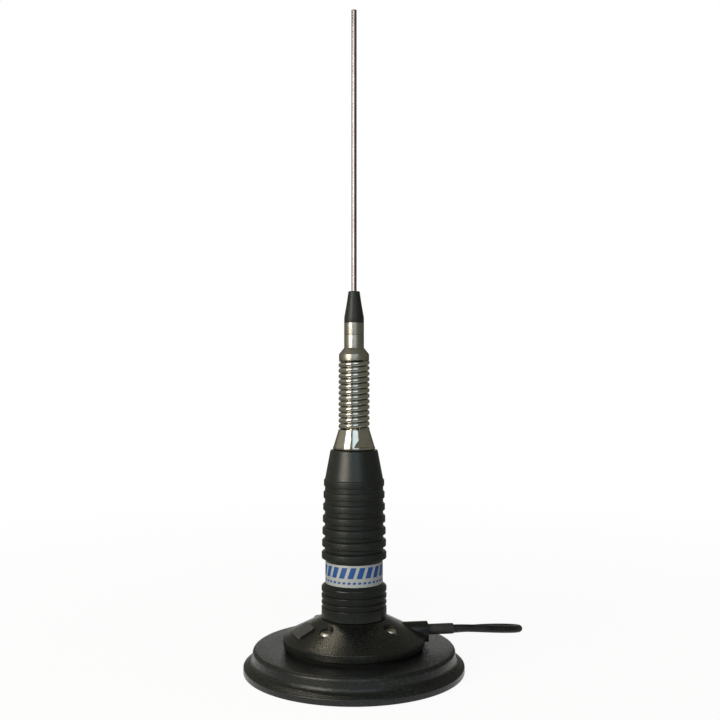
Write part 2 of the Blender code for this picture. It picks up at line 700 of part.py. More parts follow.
def make_grip():
    ribbed = finish("satin_black_plastic", (0.014, 0.014, 0.015), 0.45)
    brass = finish("insert_brass", (0.75, 0.55, 0.25), 0.3, 1.0)
    nickel = finish("foot_nickel", (0.62, 0.58, 0.5), 0.3, 1.0)
    shoulder = foot_flange_top + SEAT_GAP
    recess_radius = insert_radius + SEAT_GAP
    neck_bore = FOOT_NECK_RADIUS + SEAT_GAP
    outline = [
        (neck_bore, grip_top),
        (GRIP_RADIUS - GRIP_TOP_CHAMFER, grip_top),
        (GRIP_RADIUS, grip_top - GRIP_TOP_CHAMFER),
    ]
    for drop in GRIP_GROOVE_DROPS:
        middle = grip_top - drop
        half = GRIP_GROOVE_WIDTH / 2
        outline += [
            (GRIP_RADIUS, middle + half),
            (GRIP_RADIUS - GRIP_GROOVE_DEPTH, middle + half / 2),
            (GRIP_RADIUS - GRIP_GROOVE_DEPTH, middle - half / 2),
            (GRIP_RADIUS, middle - half),
        ]
    outline += [
        (GRIP_RADIUS, grip_bottom + GRIP_BOTTOM_CHAMFER),
        (GRIP_RADIUS - GRIP_BOTTOM_CHAMFER, grip_bottom),
        (recess_radius, grip_bottom),
        (recess_radius, shoulder),
        (neck_bore, shoulder),
    ]
    turned("grip_ring", outline, ribbed, SIDES_MEDIUM)
    insert_bore = SOCKET_THREAD_RADIUS + THREAD_GAP
    insert_top = foot_bottom - SEAT_GAP
    insert_bottom = grip_bottom + INSERT_RECESS
    turned("grip_insert", [
        (insert_bore, insert_top), (insert_radius, insert_top),
        (insert_radius, insert_bottom), (insert_bore, insert_bottom),
    ], brass, SIDES_MEDIUM)
    foot_top = former_bottom + FOOT_ENGAGEMENT
    flange_radius = insert_radius - FOOT_FLANGE_INSET
    turned("antenna_foot", [
        (FOOT_BORE_RADIUS, foot_top), (FOOT_NECK_RADIUS, foot_top),
        (FOOT_NECK_RADIUS, foot_flange_top), (flange_radius, foot_flange_top),
        (flange_radius, foot_bottom), (FOOT_BORE_RADIUS, foot_bottom),
    ], nickel, SIDES_MEDIUM)
    bush_bore = PIN_RADIUS + SEAT_GAP
    white_plastic = finish("bush_plastic", (0.8, 0.79, 0.74), 0.5)
    turned("contact_bush", [
        (bush_bore, foot_top), (FOOT_BORE_RADIUS - SEAT_GAP, foot_top),
        (FOOT_BORE_RADIUS - SEAT_GAP, foot_bottom), (bush_bore, foot_bottom),
    ], white_plastic, SIDES_TINY)
    pin_tip = socket_top - CONTACT_TOP_INSET - CONTACT_BORE_DEPTH + 2 * SEAT_GAP
    turned("contact_pin", [
        (0, foot_top + PIN_RADIUS), (PIN_RADIUS, foot_top + PIN_RADIUS),
        (PIN_RADIUS, pin_tip + PIN_RADIUS), (PIN_RADIUS / 2, pin_tip), (0, pin_tip),
    ], brass, SIDES_TINY)


# Grooved coil housing, its bare silver band and the loading coil inside it

def make_housing():
    moulded = finish("matt_black_plastic", (0.018, 0.018, 0.019), 0.6)
    top_bore = STUD_RADIUS + SEAT_GAP
    foot_bore = FOOT_NECK_RADIUS + SEAT_GAP
    outline = [(top_bore, housing_top)]
    outline += arc(CONE_TOP_RADIUS - CONE_TOP_ROUND, housing_top - CONE_TOP_ROUND, CONE_TOP_ROUND,
                   90, 15, FILLET_STEPS)
    outline += [(groove_radius - CONE_BOTTOM_STEP, housing_cone), (groove_radius, housing_cone - CONE_LAND)]
    for index in reversed(range(RIB_COUNT)):
        radius = NECK_RADIUS + RIB_STEP - index * RIB_TAPER
        low = rib_start + SKIRT_CHAMFER + index * RIB_PITCH
        if index < RIB_COUNT - 1:
            outline.append((groove_radius, low + RIB_HEIGHT + RIB_CHAMFER))
        outline += [(radius - RIB_CHAMFER, low + RIB_HEIGHT), (radius, low + RIB_HEIGHT - RIB_CHAMFER)]
        if index > 0:
            outline += [(radius, low + RIB_CHAMFER), (groove_radius, low - RIB_CHAMFER / 2)]
        else:
            outline += [(radius, low)]
    skirt = NECK_RADIUS + 2 * BAND_THICKNESS + SEAT_GAP
    cavity_radius = NECK_RADIUS - HOUSING_WALL
    cavity_floor = housing_bottom + HOUSING_FLOOR
    cavity_top_radius = CONE_TOP_RADIUS - HOUSING_WALL
    outline += [
        (skirt, rib_start),
        (NECK_RADIUS, rib_start),
        (NECK_RADIUS, housing_bottom),
        (foot_bore, housing_bottom),
        (foot_bore, cavity_floor),
        (cavity_radius, cavity_floor),
        (cavity_radius, housing_cone),
        (cavity_top_radius, housing_top - HOUSING_WALL),
        (top_bore, housing_top - HOUSING_WALL),
    ]
    turned("coil_housing", outline, moulded, SIDES_MEDIUM)

    silver = finish("brushed_silver_foil", (0.55, 0.56, 0.57), 0.4, 0.8)
    band_inner = NECK_RADIUS + SEAT_GAP
    band_top = rib_start - SEAT_GAP
    turned("label_band", [
        (band_inner, band_top), (band_inner + BAND_THICKNESS, band_top),
        (band_inner + BAND_THICKNESS, housing_bottom), (band_inner, housing_bottom),
    ], silver, SIDES_MEDIUM)

    fibre = finish("fibre_former", (0.55, 0.5, 0.4), 0.6)
    foot_socket_top = former_bottom + FOOT_ENGAGEMENT + 2 * PIN_RADIUS
    stud_bottom = former_top - STUD_ENGAGEMENT
    waist_low = former_bottom + FORMER_FLANGE_THICKNESS
    waist_high = former_top - FORMER_FLANGE_THICKNESS
    flange_radius = former_radius + FORMER_FLANGE_STEP
    turned("coil_former", [
        (0, stud_bottom), (top_bore, stud_bottom), (top_bore, former_top),
        (flange_radius, former_top), (flange_radius, waist_high),
        (former_radius, waist_high), (former_radius, waist_low),
        (flange_radius, waist_low), (flange_radius, former_bottom),
        (foot_bore, former_bottom), (foot_bore, foot_socket_top), (0, foot_socket_top),
    ], fibre, SIDES_SMALL)

    copper = finish("enamelled_copper", (0.6, 0.25, 0.1), 0.35, 1.0)
    coil_radius = (former_radius + SEAT_GAP + COIL_WIRE_RADIUS) / math.cos(math.pi / COIL_POINTS_PER_TURN)
    low = waist_low + SEAT_GAP + COIL_WIRE_RADIUS
    high = waist_high - SEAT_GAP - COIL_WIRE_RADIUS
    wire("loading_coil", helix(coil_radius, low, high, COIL_TURNS, 0.0, COIL_POINTS_PER_TURN),
         COIL_WIRE_RADIUS, copper, 1)


def helix(radius, low, high, turns, end_angle, points_per_turn):
    """A right-handed helix that ends, at its top, at end_angle."""
    count = math.ceil(turns * points_per_turn)
    points = []
    for index in range(count + 1):
        share = index / count
        angle = end_angle - math.tau * turns * (1 - share)
        points.append((*around(radius, angle), low + (high - low) * share))
    return points


# Wrench fitting, shock spring and the braid through it

def make_spring():
    chrome = finish("polished_chrome", (0.75, 0.74, 0.7), 0.12, 1.0)
    socket_floor = seat_top + SPIGOT_LENGTH - BRAID_SOCKET_DEPTH
    rim_top = seat_bottom + SEAT_RIM_HEIGHT
    stud_tip = former_top - STUD_ENGAGEMENT + SEAT_GAP
    spigot_top = seat_top + SPIGOT_LENGTH
    braid_bore = BRAID_RADIUS + SEAT_GAP
    rim_round = SEAT_RIM_HEIGHT / 2
    cone_top_radius = SPRING_OUTER_RADIUS + SEAT_TOP_STEP
    outline = [
        (0, socket_floor), (braid_bore, socket_floor), (braid_bore, spigot_top),
        (spigot_radius - SPIGOT_CHAMFER, spigot_top), (spigot_radius, spigot_top - SPIGOT_CHAMFER),
        (spigot_radius, seat_top), (cone_top_radius, seat_top),
        (SEAT_FLANGE_RADIUS - SEAT_BASE_STEP, rim_top),
    ]
    outline += arc(SEAT_FLANGE_RADIUS - rim_round, rim_top - rim_round, rim_round, 60, -60, FILLET_STEPS)
    outline += [
        (SEAT_FLANGE_RADIUS - rim_round, seat_bottom), (STUD_RADIUS, seat_bottom),
        (STUD_RADIUS, stud_tip), (0, stud_tip),
    ]
    seat = turned("spring_seat", outline, chrome, SIDES_MEDIUM)
    flat_block = (SEAT_FLANGE_RADIUS, 2 * SEAT_FLANGE_RADIUS, seat_top - rim_top)
    flat_middle = (seat_top + rim_top) / 2 + SEAT_GAP
    for index in range(2):
        turn = Matrix.Rotation(FLAT_ANGLE + index * math.pi, 4, "Z")
        reach = Matrix.Translation((FLAT_DISTANCE + SEAT_FLANGE_RADIUS / 2, 0, flat_middle))
        cut(seat, box_cutter(f"wrench_flat_{index + 1}", flat_block, turn @ reach))

    spring_steel = finish("nickel_plated_spring_steel", (0.5, 0.48, 0.43), 0.25, 1.0)
    half = SPRING_WIRE / 2
    wire("shock_spring", helix(spring_coil_radius, spring_bottom + half, spring_top - half, SPRING_TURNS,
                               SPRING_END_ANGLE, SPRING_POINTS_PER_TURN), half, spring_steel, 1)

    tinned = finish("tinned_braid", (0.6, 0.6, 0.58), 0.5, 1.0)
    head_socket_ceiling = head_bottom - SPIGOT_LENGTH + BRAID_SOCKET_DEPTH
    braid_top = head_socket_ceiling - SEAT_GAP
    turned("bonding_braid", [
        (0, braid_top), (BRAID_RADIUS, braid_top),
        (BRAID_RADIUS, socket_floor + SEAT_GAP), (0, socket_floor + SEAT_GAP),
    ], tinned, SIDES_TINY)


# Head above the spring, whip holder, its grub screw, the cap and the whip

def make_head():
    satin = finish("satin_nickel", (0.5, 0.47, 0.41), 0.35, 1.0)
    spigot_bottom = head_bottom - SPIGOT_LENGTH
    braid_bore = BRAID_RADIUS + SEAT_GAP
    braid_ceiling = spigot_bottom + BRAID_SOCKET_DEPTH
    collar_top = head_bottom + HEAD_COLLAR_HEIGHT
    chamfer_top = collar_top + HEAD_CHAMFER_HEIGHT
    stud_bottom = holder_bottom - HOLDER_STUD_LENGTH
    stud_bore = HOLDER_STUD_RADIUS + THREAD_GAP
    turned("spring_head", [
        (0, stud_bottom - SEAT_GAP), (stud_bore, stud_bottom - SEAT_GAP), (stud_bore, head_top),
        (FERRULE_RADIUS, head_top), (FERRULE_RADIUS, chamfer_top),
        (HEAD_COLLAR_RADIUS, collar_top), (HEAD_COLLAR_RADIUS, head_bottom),
        (spigot_radius, head_bottom), (spigot_radius, spigot_bottom + SPIGOT_CHAMFER),
        (spigot_radius - SPIGOT_CHAMFER, spigot_bottom), (braid_bore, spigot_bottom),
        (braid_bore, braid_ceiling), (0, braid_ceiling),
    ], satin, SIDES_SMALL)

    whip_bore = WHIP_RADIUS + THREAD_GAP
    spigot_top = holder_top + HOLDER_SPIGOT_LENGTH
    holder = turned("whip_holder", [
        (whip_bore, spigot_top), (HOLDER_SPIGOT_RADIUS, spigot_top), (HOLDER_SPIGOT_RADIUS, holder_top),
        (FERRULE_RADIUS, holder_top), (FERRULE_RADIUS, holder_bottom),
        (HOLDER_STUD_RADIUS, holder_bottom), (HOLDER_STUD_RADIUS, stud_bottom), (whip_bore, stud_bottom),
    ], satin, SIDES_SMALL)
    clamp_axis = (Matrix.Translation((0, 0, holder_bottom + CLAMP_SCREW_HEIGHT))
                  @ Matrix.Rotation(CLAMP_SCREW_ANGLE, 4, "Z") @ Matrix.Rotation(math.pi / 2, 4, "Y"))
    hole_radius = CLAMP_SCREW_RADIUS + THREAD_GAP
    hole = turned_cutter("clamp_hole_cutter", [
        (0, 2 * FERRULE_RADIUS), (hole_radius, 2 * FERRULE_RADIUS), (hole_radius, 0), (0, 0)], SIDES_TINY)
    hole.matrix_world = clamp_axis
    cut(holder, hole)
    steel = finish("blackened_steel", (0.06, 0.06, 0.065), 0.4, 1.0)
    screw_end = FERRULE_RADIUS - 2 * SEAT_GAP
    socket_end = screw_end - CLAMP_SOCKET_DEPTH
    grub = turned("clamp_screw", [
        (0, socket_end), (CLAMP_SOCKET_RADIUS, socket_end), (CLAMP_SOCKET_RADIUS, screw_end),
        (CLAMP_SCREW_RADIUS, screw_end), (CLAMP_SCREW_RADIUS, whip_bore), (0, whip_bore),
    ], steel, SIDES_TINY)
    grub.matrix_world = clamp_axis

    cap_plastic = finish("cap_plastic", (0.02, 0.02, 0.02), 0.5)
    cap_top = cap_bottom + CAP_HEIGHT
    cap_bore = HOLDER_SPIGOT_RADIUS + SEAT_GAP
    cap_ceiling = spigot_top + SEAT_GAP
    outline = [(whip_bore, cap_top)]
    outline += arc(CAP_TOP_RADIUS - CAP_TOP_ROUND, cap_top - CAP_TOP_ROUND, CAP_TOP_ROUND,
                   90, 15, FILLET_STEPS)
    outline += [
        (CAP_SHOULDER_RADIUS, cap_bottom + CAP_SHOULDER_HEIGHT),
        (FERRULE_RADIUS, cap_bottom + CAP_SKIRT_HEIGHT), (FERRULE_RADIUS, cap_bottom),
        (cap_bore, cap_bottom), (cap_bore, cap_ceiling), (whip_bore, cap_ceiling),
    ]
    turned("whip_cap", outline, cap_plastic, SIDES_SMALL)

    stainless = finish("stainless_steel", (0.66, 0.63, 0.6), 0.2, 1.0)
    whip = turned("whip", [
        (0, WHIP_LENGTH), (WHIP_RADIUS - WHIP_TIP_CHAMFER, WHIP_LENGTH),
        (WHIP_RADIUS, WHIP_LENGTH - WHIP_TIP_CHAMFER), (WHIP_RADIUS, 0), (0, 0),
    ], stainless, SIDES_TINY)
    whip.location = (0, 0, whip_bottom)


# Lead: the free stretch, the tied hank and the plug that lies on it

FEED_ROUTE = (
    (0.0380, 0.0000, 0.02450),
    (0.0667, 0.0000, 0.02450),
    (0.0800, 0.0002, 0.02390),
    (0.0930, 0.0012, 0.02270),
    (0.1070, 0.0072, 0.02030),
    (0.1175, 0.0188, 0.01710),
    (0.1200, 0.0325, 0.01400),
    (0.1140, 0.0455, 0.01120),
    (0.1020, 0.0550, 0.00890),
    (0.0880, 0.0615, 0.00670),
    (0.0720, 0.0680, 0.00450),
    (0.0550, 0.0750, 0.00300),
    (0.0400, 0.0805, 0.00255),
    (0.0252, 0.0848, 0.00255),
)

# Along the hank's axis from the near fold's centre, across it and up
PLUG_ROUTE = (
    (0.0800, 0.0155, 0.0334),
    (0.0950, 0.0175, 0.0334),
    (0.1060, 0.0155, 0.0334),
    (0.1145, 0.0085, 0.0335),
    (0.1175, -0.0010, 0.0338),
    (0.1150, -0.0105, 0.0343),
    (0.1070, -0.0165, 0.0352),
    (0.0960, -0.0170, 0.0364),
    (0.0860, -0.0125, 0.0378),
    (0.0760, -0.0060, 0.0391),
    (0.0660, -0.0014, 0.0399),
)


def hank_half_width(along, fold_radius, waist):
    """Distance from the hank's axis to a turn on its run, which is straight and narrowest under the tie."""
    share = max(0.0, abs(along) - TIE_WIDTH) / (HANK_RUN / 2 - TIE_WIDTH)
    return waist + (fold_radius - waist) * share ** 2 * (3 - 2 * share)


def hank_turn(fold_radius, waist):
    """One closed turn of the hank, as points along and across its axis, about its middle."""
    far_fold = arc(HANK_RUN / 2, 0, fold_radius, -90, 90, HANK_FOLD_STEPS)
    near_fold = arc(-HANK_RUN / 2, 0, fold_radius, 90, 270, HANK_FOLD_STEPS)
    run = []
    for step in range(1, HANK_RUN_STEPS + 1):
        along = HANK_RUN / 2 + (TIE_WIDTH - HANK_RUN / 2) * step / HANK_RUN_STEPS
        run.append((along, hank_half_width(along, fold_radius, waist)))
    run += [(-along, across) for along, across in reversed(run)]
    return far_fold + run + near_fold + [(-along, -across) for along, across in run]


def make_lead():
    sheath = finish("cable_sheath", (0.012, 0.012, 0.012), 0.5)
    wire("feed_cable", smooth_route(FEED_ROUTE, CABLE_POINT_SPACING), CABLE_RADIUS, sheath)

    hank_axis = Matrix.Translation((*HANK_NEAR_FOLD, 0)) @ Matrix.Rotation(LEAD_TURN, 4, "Z")
    hank_middle = hank_axis @ Matrix.Translation((HANK_RUN / 2, 0, hank_height / 2))
    outline = hank_turn(HANK_FOLD_RADIUS + CABLE_RADIUS, HANK_WAIST + CABLE_RADIUS)
    hank = flat_outline("cable_hank", outline, hank_height, sheath)
    hank.matrix_world = hank_middle
    notch = (TIE_WIDTH + 2 * SEAT_GAP, 4 * HANK_WAIST, 2 * (TIE_THICKNESS + SEAT_GAP))
    for index, height in enumerate((-hank_height / 2, hank_height / 2)):
        cut(hank, box_cutter(f"tie_notch_{index + 1}", notch, hank_middle @ Matrix.Translation((0, 0, height))))

    tie_nylon = finish("tie_nylon", (0.02, 0.02, 0.02), 0.5)
    inner_half = HANK_WAIST + CABLE_RADIUS + SEAT_GAP
    tie = tie_band("hank_tie", inner_half, inner_half + TIE_THICKNESS, tie_nylon)
    tie.matrix_world = hank_middle @ Matrix.Rotation(math.pi / 2, 4, "Y")
    return sheath, hank_axis


def tie_band(name, inner_half, outer_half, material):
    """The tie's flat band round the hank, its local X down and its local Y across the hank."""
    half_height = hank_height / 2
    band = flat_outline(name, rounded_rectangle(2 * half_height, 2 * outer_half, TIE_THICKNESS),
                        TIE_WIDTH, material)
    opening = flat_outline(name + "_opening", rounded_rectangle(
        2 * (half_height - TIE_THICKNESS), 2 * inner_half, TIE_THICKNESS / 2), 2 * TIE_WIDTH, None)
    make_cutter(opening)
    opening.parent = band
    cut(band, opening)
    return band


def make_plug(sheath, hank_axis):
    nickel = finish("plug_nickel", (0.66, 0.64, 0.6), 0.25, 1.0)
    white_plastic = finish("plug_insulator_white", (0.8, 0.79, 0.74), 0.5)
    plug_axis = bpy.data.objects.new("plug_axis", None)
    pieces.objects.link(plug_axis)
    # Local Z runs from the plug's mouth back along the hank's axis
    plug_axis.matrix_world = (hank_axis @ Matrix.Translation((PLUG_MOUTH, 0, plug_height))
                              @ Matrix.Rotation(math.pi / 2, 4, "Y"))

    lip_start = PLUG_NUT_LENGTH - PLUG_NUT_LIP
    body_bore = PLUG_BODY_RADIUS + SEAT_GAP
    groove = (PLUG_NUT_RADIUS - PLUG_NUT_BORE_RADIUS) / 2
    turned("plug_coupling_nut", [
        (body_bore, PLUG_NUT_LENGTH), (PLUG_NUT_RADIUS - groove, PLUG_NUT_LENGTH),
        (PLUG_NUT_RADIUS, PLUG_NUT_LENGTH - groove), (PLUG_NUT_RADIUS, groove),
        (PLUG_NUT_RADIUS - groove, 0), (PLUG_NUT_BORE_RADIUS, 0),
        (PLUG_NUT_BORE_RADIUS, lip_start), (body_bore, lip_start),
    ], nickel, SIDES_SMALL, plug_axis)

    shoulder_end = lip_start - SEAT_GAP
    shoulder_start = shoulder_end - PLUG_SHOULDER_LENGTH
    insulator_end = PLUG_NOSE_SETBACK + PLUG_INSULATOR_LENGTH
    insulator_bore = PLUG_INSULATOR_RADIUS + SEAT_GAP
    pin_bore = PLUG_PIN_RADIUS + SEAT_GAP
    spigot_start = PLUG_BODY_END - REDUCER_SPIGOT_LENGTH
    rear_bore = REDUCER_SPIGOT_RADIUS + THREAD_GAP
    turned("plug_body", [
        (rear_bore, PLUG_BODY_END), (PLUG_BODY_RADIUS, PLUG_BODY_END),
        (PLUG_BODY_RADIUS, shoulder_end), (PLUG_SHOULDER_RADIUS, shoulder_end),
        (PLUG_SHOULDER_RADIUS, shoulder_start), (PLUG_NOSE_RADIUS, shoulder_start),
        (PLUG_NOSE_RADIUS, PLUG_NOSE_SETBACK), (insulator_bore, PLUG_NOSE_SETBACK),
        (insulator_bore, insulator_end + SEAT_GAP), (rear_bore, insulator_end + SEAT_GAP),
    ], nickel, SIDES_SMALL, plug_axis)
    turned("plug_insulator", [
        (pin_bore, insulator_end), (PLUG_INSULATOR_RADIUS, insulator_end),
        (PLUG_INSULATOR_RADIUS, PLUG_NOSE_SETBACK + SEAT_GAP), (pin_bore, PLUG_NOSE_SETBACK + SEAT_GAP),
    ], white_plastic, SIDES_SMALL, plug_axis)
    turned("plug_pin", [
        (0, insulator_end + PLUG_PIN_TAIL), (PLUG_PIN_RADIUS, insulator_end + PLUG_PIN_TAIL),
        (PLUG_PIN_RADIUS, PLUG_PIN_RADIUS / 2 - PLUG_PIN_PROUD),
        (PLUG_PIN_RADIUS / 2, -PLUG_PIN_PROUD), (0, -PLUG_PIN_PROUD),
    ], nickel, SIDES_TINY, plug_axis)
    reducer_start = PLUG_BODY_END + SEAT_GAP
    cable_bore = CABLE_RADIUS + SEAT_GAP
    reducer_end = reducer_start + REDUCER_LENGTH
    turned("plug_reducer", [
        (cable_bore, reducer_end), (REDUCER_RADIUS - SEAT_GAP, reducer_end),
        (REDUCER_RADIUS, reducer_end - SEAT_GAP), (REDUCER_RADIUS, reducer_start),
        (REDUCER_SPIGOT_RADIUS, reducer_start), (REDUCER_SPIGOT_RADIUS, spigot_start),
        (cable_bore, spigot_start),
    ], nickel, SIDES_SMALL, plug_axis)

    entry = PLUG_MOUTH + reducer_end
    ends = [(entry + PLUG_CABLE_DEPTH, 0, plug_height), (entry, 0, plug_height),
            (entry - PLUG_CABLE_DEPTH, 0, plug_height)]
    route = [hank_axis @ Vector(point) for point in (*PLUG_ROUTE, *ends)]
    wire("plug_lead", smooth_route(route, CABLE_POINT_SPACING), CABLE_RADIUS, sheath)


make_base()
make_cover()
make_cover_screws()
make_boot()
make_socket()
make_grip()
make_housing()
make_spring()
make_head()
make_plug(*make_lead())
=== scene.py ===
"""Looks of the magnetic mount antenna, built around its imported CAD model. Metres, +Z up, base on z = 0."""
import math

import bmesh
import bpy
from mathutils import Matrix, Vector


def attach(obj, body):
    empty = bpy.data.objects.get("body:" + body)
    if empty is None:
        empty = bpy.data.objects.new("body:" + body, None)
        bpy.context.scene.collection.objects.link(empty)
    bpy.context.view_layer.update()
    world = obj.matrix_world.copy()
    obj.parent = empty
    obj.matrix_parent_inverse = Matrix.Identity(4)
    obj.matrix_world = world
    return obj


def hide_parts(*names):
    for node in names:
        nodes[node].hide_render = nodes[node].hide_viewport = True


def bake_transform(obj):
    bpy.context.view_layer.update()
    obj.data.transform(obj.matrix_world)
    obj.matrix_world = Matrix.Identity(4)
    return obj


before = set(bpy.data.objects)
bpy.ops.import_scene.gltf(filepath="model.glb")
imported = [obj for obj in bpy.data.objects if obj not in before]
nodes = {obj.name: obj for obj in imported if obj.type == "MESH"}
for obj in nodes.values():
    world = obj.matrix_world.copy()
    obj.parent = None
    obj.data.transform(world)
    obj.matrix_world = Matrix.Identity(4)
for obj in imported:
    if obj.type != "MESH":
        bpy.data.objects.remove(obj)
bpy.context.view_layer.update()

scene = bpy.context.scene


# Pressed base shell
# The real one is a steel cup with a rolled lip, finished in a coarse-grained black powder coat.
# It holds the magnet and its plate, and the rubber pad under them keeps its lip off the car's roof.

def rounded(outline, closed):
    """The outline with an arc at each corner that names a radius as its third number."""
    points = []
    last = len(outline) - 1
    for index, corner in enumerate(outline):
        place = Vector(corner[:2])
        if len(corner) < 3 or (not closed and index in (0, last)):
            points.append(place)
            continue
        before = (Vector(outline[index - 1][:2]) - place).normalized()
        after = (Vector(outline[(index + 1) % len(outline)][:2]) - place).normalized()
        half = before.angle(after) / 2
        centre = place + (before + after).normalized() * corner[2] / math.sin(half)
        start = place + before * corner[2] / math.tan(half) - centre
        end = place + after * corner[2] / math.tan(half) - centre
        steps = max(2, math.ceil((math.pi - 2 * half) / math.radians(15)))
        for step in range(steps + 1):
            points.append(centre + start.lerp(end, step / steps).normalized() * corner[2])
    return points


def ring_of(shell, radius, height, sides):
    """The points of a level ring, or its one point where the radius is nothing."""
    if radius < 1e-7:
        return [shell.verts.new((0, 0, height))]
    angles = [math.tau * side / sides for side in range(sides)]
    return [shell.verts.new((radius * math.cos(angle), radius * math.sin(angle), height)) for angle in angles]


def skin(shell, rings, closed):
    """Walls from each ring to the next, and from the last to the first where that closes the piece."""
    for upper, lower in zip(rings, rings[1:] + rings[:closed]):
        sides = max(len(upper), len(lower))
        for side in range(sides):
            after = (side + 1) % sides
            corners = [upper[side % len(upper)], upper[after % len(upper)],
                       lower[after % len(lower)], lower[side % len(lower)]]
            shell.faces.new(list(dict.fromkeys(corners)))


def turned(outline, sides=160, matrix=None):
    """A closed turned mesh from its outline of (radius, height, corner radius) points."""
    closed = outline[0][0] > 0
    shell = bmesh.new()
    skin(shell, [ring_of(shell, *point, sides) for point in rounded(outline, closed)], closed)
    return solid_mesh(shell, matrix)


def solid_mesh(shell, matrix=None, crease=32.0):
    """Closes a bmesh off as a smooth mesh with its faces outwards and its creases sharp."""
    bmesh.ops.remove_doubles(shell, verts=shell.verts, dist=1e-7)
    bmesh.ops.recalc_face_normals(shell, faces=shell.faces)
    mesh = bpy.data.meshes.new("solid")
    shell.to_mesh(mesh)
    shell.free()
    if matrix is not None:
        mesh.transform(matrix)
    smooth_faces(mesh, crease)
    return mesh


def smooth_faces(mesh, crease):
    mesh.polygons.foreach_set("use_smooth", [True] * len(mesh.polygons))
    mesh.set_sharp_from_angle(angle=math.radians(crease))


def linked(name, data):
    """A new object in the scene."""
    thing = bpy.data.objects.new(name, data)
    scene.collection.objects.link(thing)
    return thing


def add_piece(name, data, material, body, slot, *replaced):
    """Puts a finished mesh or curve in the scene in place of the CAD nodes that it stands for.

    It rides on one CAD body, or, where given as (below, above, start height, end height), stays unattached with
    its place baked in; these four values are not used."""
    data.name = name
    data.materials.clear()
    data.materials.append(material)
    piece = linked(name, data)
    if isinstance(body, str):
        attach(piece, body)
    else:
        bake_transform(piece)
    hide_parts(*replaced)
    return piece


def finish_node(node, material):
    """Gives a CAD node that stays its own finish."""
    nodes[node].data.materials.clear()
    nodes[node].data.materials.append(material)


def feed(tree, node, inputs):
    """Gives a node its inputs, each a value or another node's output."""
    for key, value in inputs.items():
        if isinstance(value, bpy.types.NodeSocket):
            tree.links.new(value, node.inputs[key])
        else:
            node.inputs[key].default_value = value


def add(tree, kind, inputs=None, **settings):
    """Adds a node to a tree."""
    node = tree.nodes.new(kind)
    for key, value in settings.items():
        setattr(node, key, value)
    feed(tree, node, inputs or {})
    return node


def maths(tree, operation, *values, clamp=False):
    return add(tree, "ShaderNodeMath", dict(enumerate(values)), operation=operation, use_clamp=clamp).outputs[0]


def mixed(tree, share, first, second):
    """A colour between two others."""
    first, second = [value if isinstance(value, bpy.types.NodeSocket) else (*value, 1.0)
                     for value in (first, second)]
    return add(tree, "ShaderNodeMix", {0: share, 6: first, 7: second}, data_type="RGBA").outputs[2]


def spread(tree, value, low, high, to_low=0.0, to_high=1.0):
    """A value moved from one range to another and held inside it."""
    return add(tree, "ShaderNodeMapRange", {"Value": value, "From Min": low, "From Max": high,
                                            "To Min": to_low, "To Max": to_high}).outputs[0]


def object_place(tree):
    return add(tree, "ShaderNodeTexCoord").outputs["Object"]


def noise(tree, place, scale, detail, **more):
    return add(tree, "ShaderNodeTexNoise", {"Vector": place, "Scale": scale, "Detail": detail, **more}).outputs[0]


def bumped(tree, height, strength, distance):
    return add(tree, "ShaderNodeBump", {"Height": height, "Strength": strength, "Distance": distance}).outputs[0]


def effect_group(name, inputs, outputs):
    """A shader node group with named number inputs and outputs."""
    tree = bpy.data.node_groups.new(name, "ShaderNodeTree")
    for label, value in inputs.items():
        tree.interface.new_socket(name=label, in_out="INPUT", socket_type="NodeSocketFloat").default_value = value
    for label in outputs:
        tree.interface.new_socket(name=label, in_out="OUTPUT", socket_type="NodeSocketFloat")
    return tree, add(tree, "NodeGroupInput").outputs, add(tree, "NodeGroupOutput")


def effect(tree, group, inputs=None):
    """Places an effect's group in a tree and gives its outputs."""
    return add(tree, "ShaderNodeGroup", inputs, node_tree=group).outputs


def make_grain_group():
    """Pebbled moulding grain: Height for a bump, Fleck for its bright tips and Cloud for slow changes."""
    tree, given, result = effect_group("moulded_grain", {"Grain Size": 0.0007, "Cloud Size": 0.012},
                                       ("Height", "Fleck", "Cloud"))
    place = object_place(tree)
    fine = maths(tree, "DIVIDE", 1.0, given["Grain Size"])
    pebbles = add(tree, "ShaderNodeTexVoronoi", {"Vector": place, "Scale": fine},
                  feature="SMOOTH_F1").outputs["Distance"]
    flecks = noise(tree, place, maths(tree, "MULTIPLY", fine, 0.82), 1.0)
    rough = maths(tree, "ADD", noise(tree, place, fine, 3.0, Roughness=0.6), flecks)
    cloud = noise(tree, place, maths(tree, "DIVIDE", 1.0, given["Cloud Size"]), 4.0)
    feed(tree, result, {"Height": maths(tree, "ADD", maths(tree, "MULTIPLY", pebbles, -0.6), rough),
                        "Fleck": spread(tree, flecks, 0.48, 0.70), "Cloud": spread(tree, cloud, 0.3, 0.7)})
    return tree


def make_wear_group():
    """Rubbed edges: where the surface is sharply convex, broken up by noise."""
    tree, given, result = effect_group("edge_wear", {"Low": 0.53, "High": 0.60, "Break Up": 900.0}, ("Edge",))
    sharp = add(tree, "ShaderNodeNewGeometry").outputs["Pointiness"]
    edge = spread(tree, sharp, given["Low"], given["High"])
    patches = spread(tree, noise(tree, object_place(tree), given["Break Up"], 4.0), 0.35, 0.65)
    feed(tree, result, {"Edge": maths(tree, "MULTIPLY", edge, patches)})
    return tree


moulded_grain = make_grain_group()
edge_wear = make_wear_group()


def finish(name, roughness, metallic=0.0, **constants):
    """A new material, its node tree and its shader with the numbers that are the same all over."""
    material = bpy.data.materials.new(name)
    material.use_nodes = True
    tree = material.node_tree
    shader = tree.nodes["Principled BSDF"]
    feed(tree, shader, {"Roughness": roughness, "Metallic": metallic})
    feed(tree, shader, {key.replace("_", " "): value for key, value in constants.items()})
    return material, tree, shader


